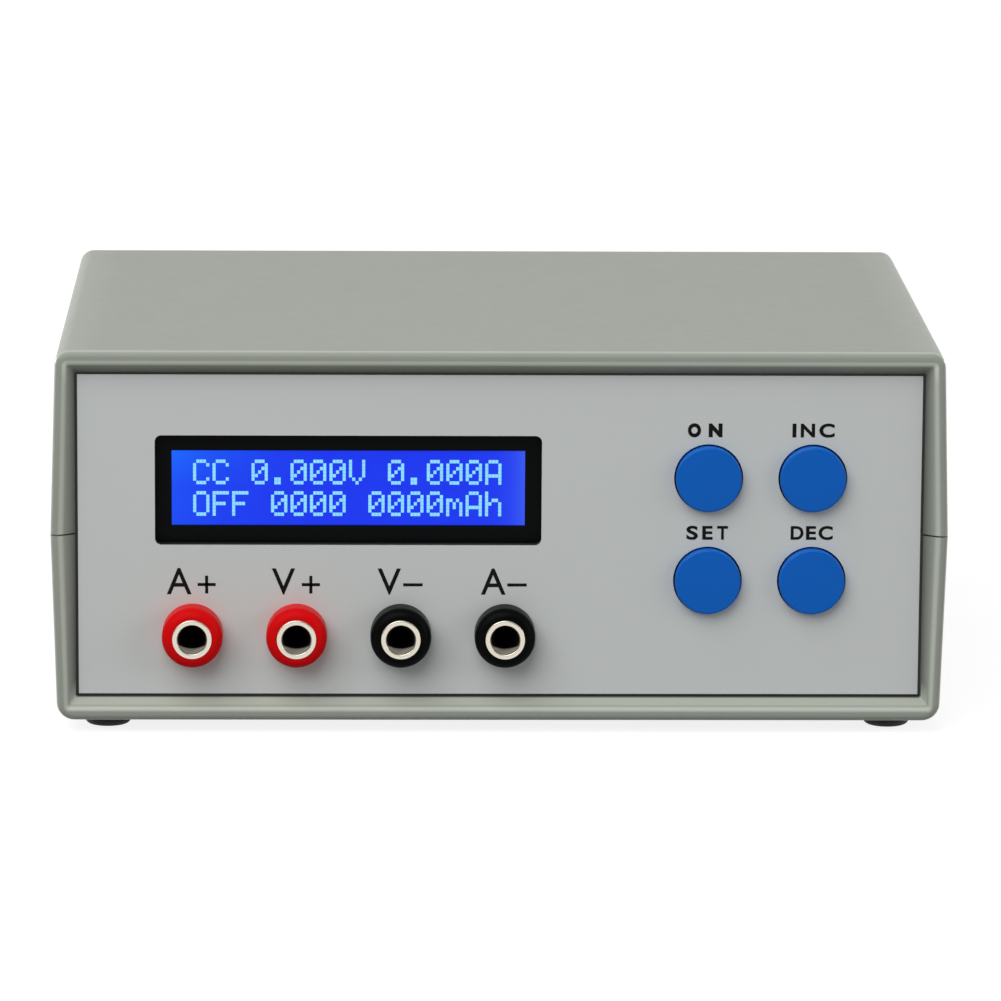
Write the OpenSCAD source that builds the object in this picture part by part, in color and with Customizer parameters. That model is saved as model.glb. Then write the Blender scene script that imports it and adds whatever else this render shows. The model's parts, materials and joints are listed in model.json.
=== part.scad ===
// Bench dc electronic load: two moulded half shells, a front plate with a character display, four 4 mm
// sockets and four push buttons, a power board cooled by a fan, and a rear plate with the supply inlet.
// Frame: +X to the right seen from the front, +Y to the rear, +Z up. The origin lies on the table,
// under the middle of the overall box. Heights of panel features are measured from the case's underside.

/* [Case] */
// Width at the parting line
case_w = 163.5; // [158:0.5:200]
// Depth over the two rims
case_d = 120; // [118:1:170]
// Height of the closed case without its feet
case_h = 68.5; // [67:0.5:90]
// Height of the lower shell
lower_h = 34.5; // [31:0.5:38]
// Wall of the top and the floor
wall = 2.2; // [1.8:0.1:3]
// Wall of the sides
side_wall = 1.8; // [1.6:0.1:2.4]
// Draft of the side walls, away from the parting line
side_draft = 1.7; // [0.5:0.1:2.2]
// Radius of the two upper long edges
upper_edge_r = 2.7; // [2.4:0.1:4]
// Radius of the two lower long edges
lower_edge_r = 3.3; // [2.6:0.1:4.5]
// Radius round the front and rear rims
rim_r = 1.2; // [0.6:0.1:1.5]
// Visible gap at the parting line
parting_gap = 0.3; // [0.1:0.05:0.5]
// Radius of the pillars that join the shells
pillar_r = 4; // [3.8:0.1:5]
// Distance of a pillar's axis from the side at the parting line
pillar_inset_x = 10; // [8.5:0.5:12]
// Distance of a pillar's axis from the rim
pillar_inset_y = 22; // [19:0.5:28]
// Floor of a lower pillar between screw head and parting line
pillar_seat = 6; // [4:0.5:10]
// Width of an air slot in the floor
slot_w = 4.4; // [3:0.1:5]
// Length of an air slot in the floor
slot_l = 40; // [20:1:50]
// Spacing of the air slots
slot_pitch = 9; // [7:0.5:12]
// Number of air slots
slot_count = 9; // [3:2:9]

/* [Panels] */
// Width of the frame beside a panel, at the parting line
frame_side = 4.45; // [4.1:0.05:6]
// Width of the frame above and below a panel
frame_edge = 4.15; // [3.8:0.05:6]
// Depth of the bevel that leads in to a panel
bevel_d = 2; // [1.5:0.1:3]
// Straight land behind the bevel
lip_land = 0.5; // [0.3:0.1:1]
// Thickness of the panel plates
panel_t = 2; // [1.6:0.1:2.6]
// How far a panel reaches behind its frame
panel_overlap = 1; // [0.6:0.1:1.2]
// Rib behind a panel
rib_t = 1.6; // [1:0.1:3]
// Thickness of the printed film
film_t = 0.3; // [0.1:0.05:0.4]
// Border of bare plate between film and frame
film_gap = 0.5; // [0.2:0.1:1.5]

/* [Feet] */
// Height of a foot
foot_h = 2.5; // [1.5:0.1:6]
// Radius of a foot
foot_r = 4.25; // [3.5:0.25:5]
// Radius round the lower edge of a foot
foot_round = 1; // [0.5:0.1:1.4]
// Distance of a foot's axis from side and rim
foot_inset = 10; // [9:0.5:12]

/* [Display] */
// Middle of the display, to the right of the case's middle
display_x = -27.6; // [-32:0.2:-20]
// How far the display sits above the middle of the free height over the sockets
display_rise = -0.6; // [-3:0.1:3]
// Width of the lit area
view_w = 64.4; // [50:0.2:70]
// Height of the lit area
view_h = 13.9; // [10:0.1:15]
// Dark border beside the lit area
border_x = 3; // [2:0.1:4]
// Dark border above and below the lit area
border_z = 3.2; // [2:0.1:4]
// Corner radius of the window
window_r = 1.2; // [0.5:0.1:2]
// Bezel hidden beside the window
bezel_lap_x = 0.8; // [0.4:0.1:2]
// Bezel hidden above and below the window
bezel_lap_z = 2.4; // [1:0.1:3]
// Depth from the bezel's face to the display board
bezel_d = 7; // [6:0.1:9]
// Sheet thickness of the bezel
bezel_t = 0.6; // [0.4:0.1:1]
// Thickness of the display glass
glass_t = 2.2; // [1.6:0.1:2.8]
// Display board beside the bezel
display_margin_x = 4; // [4:0.1:6]
// Display board above and below the bezel
display_margin_z = 5.5; // [5.5:0.1:6.5]

/* [Sockets] */
// Middle of the socket row, to the right of the case's middle
socket_x = -27.5; // [-32:0.5:-20]
// Height of the socket row
socket_h = 15.9; // [15:0.1:17]
// Spacing of the sockets
socket_pitch = 19; // [14:0.5:20]
// Radius of a socket's bore
socket_r = 2; // [1.5:0.1:2.2]
// Depth of a socket from its face
socket_l = 18; // [14:0.5:20]
// Radius of a socket's outer contact collar
collar_r = 3.6; // [3.3:0.1:3.8]
// Radius of a socket's coloured nose
nose_r = 5.55; // [5:0.05:6.5]
// Length of a socket's coloured nose
nose_l = 5.5; // [4:0.1:8]
// Rounding of a socket's coloured nose
nose_round = 1.6; // [0.5:0.1:1.7]
// Radius of a socket's barrel behind the plate
barrel_r = 4; // [3.6:0.1:4.5]
// Length of a socket's barrel, from the film's face
barrel_l = 11; // [8:0.5:12]

/* [Buttons] */
// Middle of the four buttons, to the right of the case's middle
button_x = 47.5; // [44:0.5:49]
// How far the buttons' middle sits above the case's middle
button_rise = 1.15; // [-1:0.05:3]
// Spacing of the buttons
button_pitch = 19; // [15:0.5:20]
// Radius of a button cap
button_r = 6; // [5:0.1:7]
// How far a cap stands out of the film
button_proud = 2; // [1:0.1:3.5]
// Rounding of a cap's edge
button_round = 0.6; // [0.2:0.1:1]
// Length of a cap
button_l = 7; // [6.6:0.1:9]
// Stroke of a button
button_travel = 0.3; // [0.2:0.05:0.6]
// Width of a key switch
switch_w = 12; // [9:0.5:13]
// Height of a key switch's body
switch_t = 4; // [3:0.1:6]

/* [Fan] */
// Middle of the fan, to the right of the case's middle
fan_x = -36; // [-42:0.5:-30]
// Side of the fan's frame
fan_w = 50; // [40:1:52]
// Thickness of the fan
fan_t = 15; // [12:0.5:20]
// Radius of the fan's hub
hub_r = 11; // [9:0.5:13]
// Number of fan blades
blade_count = 7; // [5:1:9]
// Radius of the fan's shaft
shaft_r = 1; // [0.8:0.1:1.5]
// Diameter of the guard's wire
wire_d = 1.3; // [0.8:0.1:1.6]
// Number of rings in the guard
guard_rings = 4; // [3:1:6]

/* [Rear sockets] */
// Middle of the supply inlet, to the right of the case's middle
inlet_x = 44; // [38:0.5:48]
// Middle of the data socket, to the right of the case's middle
data_x = 26; // [18:0.5:30]
// Height of both rear sockets
rear_socket_h = 34.5; // [26:0.5:42]
// Bore radius of the supply inlet
inlet_r = 2.85; // [2.6:0.05:3.2]
// Radius of the supply inlet's pin
inlet_pin_r = 1.05; // [0.8:0.05:1.3]
// Bore radius of the data socket
data_r = 1.8; // [1.2:0.1:2]
// Depth of the data socket
data_l = 14; // [10:0.5:16]

/* [Main board] */
// Width of the main board
board_w = 124; // [118:1:128]
// Thickness of all the circuit boards
board_t = 1.6; // [1:0.1:2]
// Height of the posts under the main board
post_h = 5; // [3:0.5:5.5]
// Width of the heatsink
sink_w = 48; // [36:1:48]
// Height of the heatsink
sink_h = 46; // [40:1:48]
// Length of the heatsink along the air flow
sink_l = 36; // [34:1:44]
// Thickness of the heatsink's base
sink_base = 5; // [4:0.5:8]
// Number of heatsink fins
fin_count = 8; // [5:1:10]
// Thickness of a fin
fin_t = 1.6; // [1:0.1:2.4]

/* [Hidden] */
$fn = 64;

// Rim radius, limited by the long edges that it runs into
rim_share = 0.45;
rim = min(rim_r, rim_share * min(upper_edge_r, lower_edge_r));

// Clearances
cut = 0.5;
slot_clear = 0.1;
panel_clear = 0.2;
seat_clear = 0.05;
hole_clear = 0.15;
run_clear = 0.05;
button_clear = 0.3;
stroke_spare = 0.3;
screw_spare = 1;

// Ribs and tongue inside the shells
web_t = 1.5;
boss_step = 0.4;
tongue_t = 1.2;
tongue_h = 1.8;
tongue_root = 3;
tongue_clear = 0.2;

// Fasteners
case_screw_r = 1.25;
case_head_r = 2.75;
case_head_h = 2;
case_bite = 10;
panel_screw_r = 1.25;
panel_head_r = 2.4;
spacer_r = 2.75;
small_nut_t = 2;
small_nut_r = 2.9;
fan_screw_r = 1.5;
fan_head_r = 2.8;
fan_head_h = 1.8;
fan_nut_r = 3.2;
fan_nut_t = 2.4;
board_head_r = 2.8;
board_head_h = 2;
post_r = 3.5;
cross_w = 0.7;
cross_d = 1;
cross_reach = 0.6;

// Sockets in the front plate
collar_t = 1;
collar_proud = 0.3;
contact_r = 2.8;
contact_end = 2;
mouth_r = 2.9;
mouth_d = 2.5;
tail_r = 1.5;
tail_l = 6;
jack_nut_r = 6.2;
jack_nut_t = 2.5;

// Sockets in the rear plate
inlet_wall = 1.1;
inlet_lap = 1.6;
inlet_barrel_r = inlet_r + inlet_wall;
inlet_flange_r = inlet_barrel_r + inlet_lap;
inlet_flange_t = 1.6;
inlet_d = 9.5;
inlet_back = 2.5;
inlet_round = 0.5;
inlet_pin_short = 1;
inlet_shank_r = 0.75;
inlet_nut_lap = 2.2;
inlet_nut_r = inlet_barrel_r + inlet_nut_lap;
inlet_nut_t = 2;
data_wall = 1.15;
data_shoulder = 1.25;
data_barrel_r = data_r + data_wall;
data_body_r = data_barrel_r + data_shoulder;
data_proud = 2.2;
data_nut_lap = 1.2;
data_nut_r = data_barrel_r + data_nut_lap;
data_nut_t = 1.8;
data_back = 2;

// Fan
fan_hole_inset = 5;
fan_wall = 1.2;
fan_pitch = fan_w - 2 * fan_hole_inset;
duct_r = fan_w / 2 - fan_wall;
blade_gap = 0.8;
blade_t = 1.2;
blade_twist = 38;
blade_sweep = 14;
motor_base_t = 2;
motor_step = 0.5;
motor_base_r = hub_r - motor_step;
strut_w = 3;
strut_turn = 20;
fan_gap = 1;
blade_l = fan_t - motor_base_t - 4 * fan_gap;
fan_corner_r = 3;
hub_wall = 1.2;
hub_face = 1.5;
hub_round = 0.8;
tube_r = 3;
bearing_r = 2.2;
bearing_l = 7;
stator_gap = 0.8;
stator_r = hub_r - hub_wall - stator_gap;
stator_l = 5;
loop_r = 2.6;
first_ring_r = 5;
ring_lift = 0.8 * wire_d;

// Planes and heights of the case
recess = bevel_d + lip_land + slot_clear;
guard_out = wire_d + ring_lift;
screw_out = wire_d + fan_head_h;
front_proud = max(0, nose_l + collar_proud + film_t - recess);
rear_proud = max(0, max(guard_out, screw_out, inlet_flange_t, data_proud) - recess);
y_mid = (front_proud - rear_proud) / 2;
y_front = y_mid - case_d / 2;
y_rear = y_mid + case_d / 2;
front_face = y_front + recess;
front_back = front_face + panel_t;
film_face = front_face - film_t;
rear_face = y_rear - recess;
rear_back = rear_face - panel_t;
groove_end = recess + panel_t + slot_clear;
z_low = foot_h;
z_top = foot_h + case_h;
z_part = foot_h + lower_h;
half_w = case_w / 2;
lower_half = half_w - tan(side_draft) * (lower_h - lower_edge_r);
upper_half = half_w - tan(side_draft) * (case_h - lower_h - upper_edge_r);
lip_half = half_w - frame_side;
lip_low = z_low + frame_edge;
lip_high = z_top - frame_edge;
pillar_x = half_w - pillar_inset_x;
pillar_y = case_d / 2 - pillar_inset_y;
foot_x = half_w - foot_inset;
foot_y = case_d / 2 - foot_inset;

// Display
socket_z = z_low + socket_h;
display_z = (socket_z + barrel_r + z_top - wall) / 2 + display_rise;
window_w = view_w + 2 * border_x;
window_h = view_h + 2 * border_z;
bezel_w = window_w + 2 * bezel_lap_x;
bezel_h = window_h + 2 * bezel_lap_z;
display_board_w = bezel_w + 2 * display_margin_x;
display_board_h = bezel_h + 2 * display_margin_z;
display_hole_edge = 2.5;
display_hole_x = display_board_w / 2 - display_hole_edge;
display_hole_z = display_board_h / 2 - display_hole_edge;
display_front = front_back + bezel_d;
display_back = display_front + board_t;

// Sockets
contact_front = film_face - nose_l - collar_proud;
contact_back = contact_front + socket_l + contact_end;
tail_back = contact_back + tail_l;

// Buttons and their switches
button_z = z_low + case_h / 2 + button_rise;
cap_front = film_face - button_proud;
cap_back = cap_front + button_l;
switch_front = cap_back + button_travel + stroke_spare;
switch_back = switch_front + switch_t;
key_back = switch_back + board_t;
stem_w = 3.8;
stem_l = 3.3;
post_wall = 0.8;
skirt_wall = 1.2;
cap_roof = 2;
disc_r = 3.3;
disc_proud = 0.2;
disc_t = 1.2;
key_margin = 12.5;
key_w = button_pitch + 2 * key_margin;
key_hole_edge = 3.5;
key_hole = key_w / 2 - key_hole_edge;
ON = [-1, 1];
INC = [1, 1];
SET = [-1, -1];
DEC = [1, -1];

// Main board and what stands on it
fan_z = z_low + case_h / 2;
fan_front = rear_back - fan_t;
front_room = 13.5;
fan_room = 2;
lead_room = 8;
board_front = front_back + front_room;
board_rear = fan_front - fan_room;
board_low = z_low + wall + post_h;
board_top = board_low + board_t;
board_hole_inset = 5;
board_hole_x = board_w / 2 - board_hole_inset;
sink_rear = board_rear - lead_room;
sink_right = fan_x + sink_w / 2;
pad_t = 0.3;
transistor_t = 4.8;
transistor_w = 16;
transistor_h = 20;
transistor_leg = 8;
transistor_hole = 15;
leg_w = 1.2;
leg_t = 0.7;
leg_pitch = 5.4;
rear_socket_z = z_low + rear_socket_h;
inlet_end = rear_face - inlet_d - inlet_back + inlet_flange_t;
data_end = rear_face + data_proud - data_l - data_back;

// Board parts, placed from the board's middle
can_x = 26;
can_y = 5;
can_pitch = 16;
can_r = 6.3;
can_h = 20;
can_round = 0.8;
small_can_x = 55;
small_can_r = 4;
small_can_h = 11;
chip_y = -17;
chip_h = 1.7;
processor_x = 30;
processor_w = 10;
driver_x = 52;
driver_w = 8;
amplifier_x = 12;
amplifier_w = 6;
amplifier_d = 5;
amplifier_pitch = 9;

// Leads
load_r = 1.6;
sense_r = 0.9;
thin_r = 1;
socket_bend = socket_z - board_top;
socket_run = 2;
socket_landing = tail_back + socket_run + socket_bend;
ribbon_t = 1;
ribbon_bend = 3;
display_ribbon_w = 38;
display_ribbon_side = 12;
display_ribbon_edge = 5;
ribbon_room = 5;
display_ribbon_x = display_x - display_ribbon_side;
display_ribbon_z = display_z + display_board_h / 2 - display_ribbon_edge;
display_ribbon_y = socket_landing + ribbon_room;
key_ribbon_w = 14;
key_ribbon_out = 8;
key_ribbon_side = 9;
key_ribbon_x = button_x - key_ribbon_side;
key_ribbon_y = key_back + key_ribbon_out;
header_h = 6;
header_d = 4;
rear_bend = 4;
rear_inset = 4;
rear_landing = board_rear - rear_inset;
plug_w = 7;
plug_margin = 1;
fan_lead_inset = 1.7;
fan_lead_rise = 7;
fan_lead_x = fan_x + fan_w / 2 - fan_lead_inset;
fan_lead_z = fan_z - fan_pitch / 2 + fan_lead_rise;

// Part colours
CASE = [0.63, 0.65, 0.61];
PLATE = [0.12, 0.12, 0.13];
FILM = [0.69, 0.7, 0.7];
BLACK = [0.05, 0.05, 0.05];
RED = [0.8, 0.1, 0.1];
BLUE = [0.07, 0.33, 0.63];
METAL = [0.75, 0.74, 0.72];
BOARD = [0.05, 0.35, 0.15];

// A straight round bar along +Y from the origin
module y_bar(r, l) {
    rotate([-90, 0, 0]) cylinder(r = r, h = l);
}

// A flat shape in X and Z, drawn out from y0 to y1
module along_y(y0, y1) {
    translate([0, y1, 0]) rotate([90, 0, 0]) linear_extrude(y1 - y0) children();
}

// A turned shape whose profile's second coordinate runs along +Y
module turned_y() {
    rotate([-90, 0, 0]) rotate_extrude() children();
}

// Profile of a turned disc with one rounded outer edge at its lower end
module rounded_profile(r, h, round_r) {
    square([r - round_r, h]);
    translate([0, round_r]) square([r, h - round_r]);
    translate([r - round_r, round_r]) circle(r = round_r);
}

// A rectangle with round corners, centred
module round_rect(w, h, r) {
    square([w - 2 * r, h], center = true);
    square([w, h - 2 * r], center = true);
    for (sx = [-1, 1], sz = [-1, 1]) {
        translate([sx * (w / 2 - r), sz * (h / 2 - r)]) circle(r = r);
    }
}

// A hexagon nut along +Y from the origin, r measured over its corners
module y_nut(r, t, hole_r) {
    difference() {
        rotate([-90, 0, 0]) cylinder(r = r, h = t, $fn = 6);
        translate([0, -cut, 0]) y_bar(hole_r, t + 2 * cut);
    }
}

// A pan-head screw along +Z: its head below the origin, its shaft above
module pan_screw(head_r, head_h, r, l) {
    difference() {
        union() {
            translate([0, 0, -head_h]) rotate_extrude() rounded_profile(head_r, head_h, head_h / 3);
            cylinder(r = r, h = l);
        }
        for (a = [0, 90]) {
            rotate(a) translate([-head_r * cross_reach, -cross_w / 2, -head_h - cut]) {
                cube([2 * head_r * cross_reach, cross_w, cross_d + cut]);
            }
        }
    }
}

// A lead that leaves the origin along +Y, bends down and drops
module lead(r, run, bend, drop) {
    y_bar(r, run);
    translate([0, run, -bend]) rotate([90, 0, 90]) {
        rotate_extrude(angle = 90) translate([bend, 0]) circle(r = r);
    }
    if (drop > 0) {
        translate([0, run + bend, -bend - drop]) cylinder(r = r, h = drop);
    }
}

// A flat ribbon that leaves the origin along +Y, bends down and drops
module ribbon(w, run, drop) {
    translate([-w / 2, 0, 0]) rotate([90, 0, 90]) linear_extrude(w) {
        translate([0, -ribbon_t / 2]) square([run, ribbon_t]);
        translate([run, -ribbon_bend]) {
            intersection() {
                difference() {
                    circle(r = ribbon_bend + ribbon_t / 2);
                    circle(r = ribbon_bend - ribbon_t / 2);
                }
                square(ribbon_bend + ribbon_t);
            }
        }
        translate([run + ribbon_bend - ribbon_t / 2, -ribbon_bend - drop]) square([ribbon_t, drop]);
    }
}

// Places
module at_feet() {
    for (sx = [-1, 1], sy = [-1, 1]) {
        translate([sx * foot_x, y_mid + sy * foot_y, 0]) children();
    }
}

module at_pillars() {
    for (sx = [-1, 1], sy = [-1, 1]) {
        translate([sx * pillar_x, y_mid + sy * pillar_y, z_part]) children();
    }
}

module at_sockets(numbers) {
    for (i = numbers) {
        translate([socket_x + (i - 1.5) * socket_pitch, film_face, socket_z]) children();
    }
}

module at_button(key) {
    translate([button_x + key.x * button_pitch / 2, 0, button_z + key.y * button_pitch / 2]) children();
}

module at_buttons() {
    for (key = [ON, INC, SET, DEC]) {
        at_button(key) children();
    }
}

module at_display_holes() {
    for (sx = [-1, 1], sz = [-1, 1]) {
        translate([display_x + sx * display_hole_x, front_back, display_z + sz * display_hole_z]) children();
    }
}

module at_key_holes() {
    for (sx = [-1, 1], sz = [-1, 1]) {
        translate([button_x + sx * key_hole, front_back, button_z + sz * key_hole]) children();
    }
}

module at_board_holes() {
    for (sx = [-1, 1], y = [board_front + board_hole_inset, board_rear - board_hole_inset]) {
        translate([sx * board_hole_x, y, board_top]) children();
    }
}

module at_fan_holes() {
    for (sx = [-1, 1], sz = [-1, 1]) {
        translate([fan_x + sx * fan_pitch / 2, 0, fan_z + sz * fan_pitch / 2]) children();
    }
}

// The closed case as one lump, with drafted sides, round long edges and round rims
module case_lump() {
    hull() {
        for (sx = [-1, 1], y = [y_front + rim, y_rear - rim]) {
            translate([sx * (upper_half - upper_edge_r), y, z_top - upper_edge_r]) edge_ring(upper_edge_r);
            translate([sx * (lower_half - lower_edge_r), y, z_low + lower_edge_r]) edge_ring(lower_edge_r);
            translate([sx * (half_w - rim), y, z_part]) {
                cylinder(r = rim, h = parting_gap, center = true, $fn = 32);
            }
        }
    }
}

// Ring that gives a long edge its radius and its end the rim's radius
module edge_ring(r) {
    rotate([90, 0, 0]) rotate_extrude($fn = 32) translate([r - rim, 0]) circle(r = rim, $fn = 32);
}

// Inner outline of the walls
module wall_outline() {
    right = [
        [lower_half - lower_edge_r, z_low + wall],
        [lower_half - side_wall, z_low + lower_edge_r],
        [half_w - side_wall, z_part],
        [upper_half - side_wall, z_top - upper_edge_r],
        [upper_half - upper_edge_r, z_top - wall]
    ];
    last = len(right) - 1;
    polygon(concat(right, [for (i = [0 : last]) [-right[last - i].x, right[last - i].y]]));
}

// Opening of a panel's frame, grown on all sides
module frame_opening(grow) {
    translate([-lip_half - grow, lip_low - grow]) {
        square([2 * (lip_half + grow), lip_high - lip_low + 2 * grow]);
    }
}

// Bevel, opening and groove at the front end
module front_end_cut() {
    hull() {
        along_y(y_front - cut, y_front) wall_outline();
        along_y(y_front + bevel_d, y_front + bevel_d + slot_clear) frame_opening(0);
    }
    along_y(y_front + bevel_d, y_front + groove_end + rib_t + cut) frame_opening(0);
    along_y(y_front + recess - slot_clear, y_front + groove_end) frame_opening(panel_overlap + panel_clear);
}

// All that is hollow in the closed case
module case_hollow() {
    front_end_cut();
    translate([0, 2 * y_mid, 0]) mirror([0, 1, 0]) front_end_cut();
    along_y(y_front + groove_end + rib_t, y_rear - groove_end - rib_t) wall_outline();
}

// Slab from one height to another, wider than the case
module level(z0, z1) {
    translate([-case_w, y_front - case_d / 2, z0]) cube([2 * case_w, 2 * case_d, z1 - z0]);
}

// Sub-parts: the case

// Webs that tie the pillars to the side walls between two heights
module pillar_webs(z0, z1, end) {
    for (sx = [-1, 1], sy = [-1, 1]) {
        translate([sx > 0 ? pillar_x : -end, y_mid + sy * pillar_y - web_t / 2, z0]) {
            cube([end - pillar_x, web_t, z1 - z0]);
        }
    }
}

// Tongue of the lower shell that closes the parting gap from within
module tongue() {
    inner = half_w - side_wall;
    outline = [
        [inner - tongue_clear - tongue_t, z_part - tongue_root],
        [inner + side_wall / 3, z_part - tongue_root],
        [inner + side_wall / 3, z_part - parting_gap / 2],
        [inner - tongue_clear, z_part - parting_gap / 2],
        [inner - tongue_clear, z_part + tongue_h],
        [inner - tongue_clear - tongue_t, z_part + tongue_h]
    ];
    for (sx = [-1, 1]) {
        along_y(y_front + groove_end + rib_t, y_rear - groove_end - rib_t) {
            polygon([for (p = outline) [sx * p.x, p.y]]);
        }
    }
}

module top_cover() {
    boss_l = z_top - wall / 2 - z_part;
    color(CASE) difference() {
        union() {
            difference() {
                case_lump();
                level(z_low - cut, z_part + parting_gap / 2);
                case_hollow();
            }
            at_pillars() cylinder(r = pillar_r - boss_step, h = boss_l);
            pillar_webs(z_part + tongue_h + panel_clear, z_top - upper_edge_r, upper_half - side_wall / 4);
        }
        at_pillars() translate([0, 0, -cut]) {
            cylinder(r = case_screw_r + seat_clear, h = case_bite + screw_spare + cut);
        }
    }
}

module bottom_cover() {
    pillar_l = lower_h - wall / 2;
    color(CASE) difference() {
        union() {
            difference() {
                case_lump();
                level(z_part - parting_gap / 2, z_top + cut);
                case_hollow();
            }
            at_pillars() translate([0, 0, -pillar_l]) cylinder(r = pillar_r, h = pillar_l);
            pillar_webs(z_low + lower_edge_r, z_part - tongue_root, lower_half - side_wall / 4);
            tongue();
            at_board_holes() translate([0, 0, z_low + wall / 2 - board_top]) {
                cylinder(r = post_r, h = post_h + wall / 2);
            }
        }
        at_pillars() {
            translate([0, 0, -lower_h - cut]) {
                cylinder(r = case_head_r + hole_clear, h = lower_h + cut - pillar_seat);
            }
            translate([0, 0, -pillar_seat - cut]) {
                cylinder(r = case_screw_r + 2 * hole_clear, h = pillar_seat + 2 * cut);
            }
        }
        at_board_holes() translate([0, 0, -board_t - post_h]) {
            cylinder(r = case_screw_r + seat_clear, h = board_t + post_h);
        }
        for (i = [0 : slot_count - 1]) {
            translate([(i - (slot_count - 1) / 2) * slot_pitch, y_mid, z_low - cut]) {
                linear_extrude(wall + 2 * cut) air_slot();
            }
        }
    }
}

// Outline of one air slot, with round ends
module air_slot() {
    square([slot_w, slot_l - slot_w], center = true);
    for (sy = [-1, 1]) {
        translate([0, sy * (slot_l - slot_w) / 2]) circle(r = slot_w / 2);
    }
}

module case_screws() {
    color(METAL) at_pillars() translate([0, 0, -pillar_seat]) {
        pan_screw(case_head_r, case_head_h, case_screw_r, pillar_seat + case_bite);
    }
}

module rubber_feet() {
    color(BLACK) at_feet() rotate_extrude() rounded_profile(foot_r, foot_h, foot_round);
}

// Sub-parts: the two panels

// Holes for the sockets and buttons, cut to a depth behind the film's face
module panel_openings(depth) {
    at_sockets([0 : 3]) translate([0, -cut, 0]) y_bar(barrel_r + hole_clear, depth + 2 * cut);
    at_buttons() translate([0, film_face - cut, 0]) y_bar(button_r + button_clear, depth + 2 * cut);
}

module front_panel() {
    color(PLATE) difference() {
        along_y(front_face, front_back) difference() {
            frame_opening(panel_overlap);
            translate([display_x, display_z]) round_rect(window_w, window_h, window_r);
        }
        panel_openings(film_t + panel_t);
        at_display_holes() panel_screw_hole();
        at_key_holes() panel_screw_hole();
    }
}

module front_film() {
    color(FILM) difference() {
        along_y(film_face, front_face) difference() {
            frame_opening(-film_gap);
            translate([display_x, display_z]) round_rect(window_w, window_h, window_r);
        }
        panel_openings(film_t);
    }
}

module rear_panel() {
    color(PLATE) difference() {
        along_y(rear_back, rear_face) frame_opening(panel_overlap);
        translate([fan_x, rear_back - cut, fan_z]) y_bar(duct_r, panel_t + 2 * cut);
        at_fan_holes() translate([0, rear_back - cut, 0]) y_bar(fan_screw_r + hole_clear, panel_t + 2 * cut);
        translate([inlet_x, rear_back - cut, rear_socket_z]) {
            y_bar(inlet_barrel_r + hole_clear, panel_t + 2 * cut);
        }
        translate([data_x, rear_back - cut, rear_socket_z]) {
            y_bar(data_barrel_r + hole_clear, panel_t + 2 * cut);
        }
    }
}

// Sub-parts: the display

module display_bezel() {
    color(BLACK) difference() {
        along_y(front_back, display_front) translate([display_x, display_z]) {
            round_rect(bezel_w, bezel_h, window_r);
        }
        along_y(front_back + bezel_t, display_front + cut) translate([display_x, display_z]) {
            square([bezel_w - 2 * bezel_t, bezel_h - 2 * bezel_t], center = true);
        }
        along_y(front_back - cut, front_back + bezel_t + cut) translate([display_x, display_z]) {
            square([view_w, view_h], center = true);
        }
    }
}

// A block that fills the bezel from y0 to y1
module bezel_block(y0, y1) {
    gap = bezel_t + hole_clear;
    along_y(y0, y1) translate([display_x, display_z]) {
        square([bezel_w - 2 * gap, bezel_h - 2 * gap], center = true);
    }
}

module display_glass() {
    color([0.1, 0.25, 0.95]) bezel_block(front_back + bezel_t, front_back + bezel_t + glass_t);
}

module display_backlight() {
    color([0.9, 0.9, 0.9]) bezel_block(front_back + bezel_t + glass_t, display_front);
}

module display_board() {
    color(BOARD) difference() {
        along_y(display_front, display_back) translate([display_x, display_z]) {
            square([display_board_w, display_board_h], center = true);
        }
        at_display_holes() y_bar(panel_screw_r + hole_clear, bezel_d + board_t + cut);
    }
}

// Countersunk hole through the front plate, from a screw's place on the plate's back
module panel_screw_hole() {
    sink_r = panel_head_r + seat_clear;
    translate([0, -panel_t - cut, 0]) y_bar(panel_screw_r + hole_clear, panel_t + 2 * cut);
    translate([0, -panel_t, 0]) rotate([-90, 0, 0]) {
        cylinder(r1 = sink_r, r2 = panel_screw_r, h = sink_r - panel_screw_r);
    }
    translate([0, -panel_t - cut, 0]) y_bar(sink_r, cut);
}

// Countersunk screw through the plate and a board that stands off by the stack's length
module panel_screw(stack) {
    translate([0, -panel_t, 0]) {
        rotate([-90, 0, 0]) {
            cylinder(r1 = panel_head_r, r2 = panel_screw_r, h = panel_head_r - panel_screw_r);
        }
        y_bar(panel_screw_r, panel_t + stack + board_t + small_nut_t + cut);
    }
}

module panel_spacer(stack) {
    difference() {
        y_bar(spacer_r, stack);
        translate([0, -cut, 0]) y_bar(panel_screw_r + hole_clear, stack + 2 * cut);
    }
}

module panel_screws() {
    color(METAL) {
        at_display_holes() panel_screw(bezel_d);
        at_key_holes() panel_screw(switch_back - front_back);
    }
}

module panel_spacers() {
    color([0.85, 0.83, 0.78]) {
        at_display_holes() panel_spacer(bezel_d);
        at_key_holes() panel_spacer(switch_back - front_back);
    }
}

module panel_nuts() {
    color(METAL) {
        at_display_holes() translate([0, bezel_d + board_t, 0]) {
            y_nut(small_nut_r, small_nut_t, panel_screw_r + seat_clear);
        }
        at_key_holes() translate([0, key_back - front_back, 0]) {
            y_nut(small_nut_r, small_nut_t, panel_screw_r + seat_clear);
        }
    }
}

// Sub-parts: the four sockets

module jack_insulator() {
    difference() {
        union() {
            translate([0, -nose_l, 0]) turned_y() rounded_profile(nose_r, nose_l, nose_round);
            y_bar(barrel_r, barrel_l);
        }
        translate([0, -nose_l - cut, 0]) y_bar(contact_r + seat_clear, nose_l + barrel_l + 2 * cut);
        translate([0, -nose_l - cut, 0]) y_bar(collar_r + seat_clear, collar_t + cut);
    }
}

module red_jack_insulators() {
    color(RED) at_sockets([0, 1]) jack_insulator();
}

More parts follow.
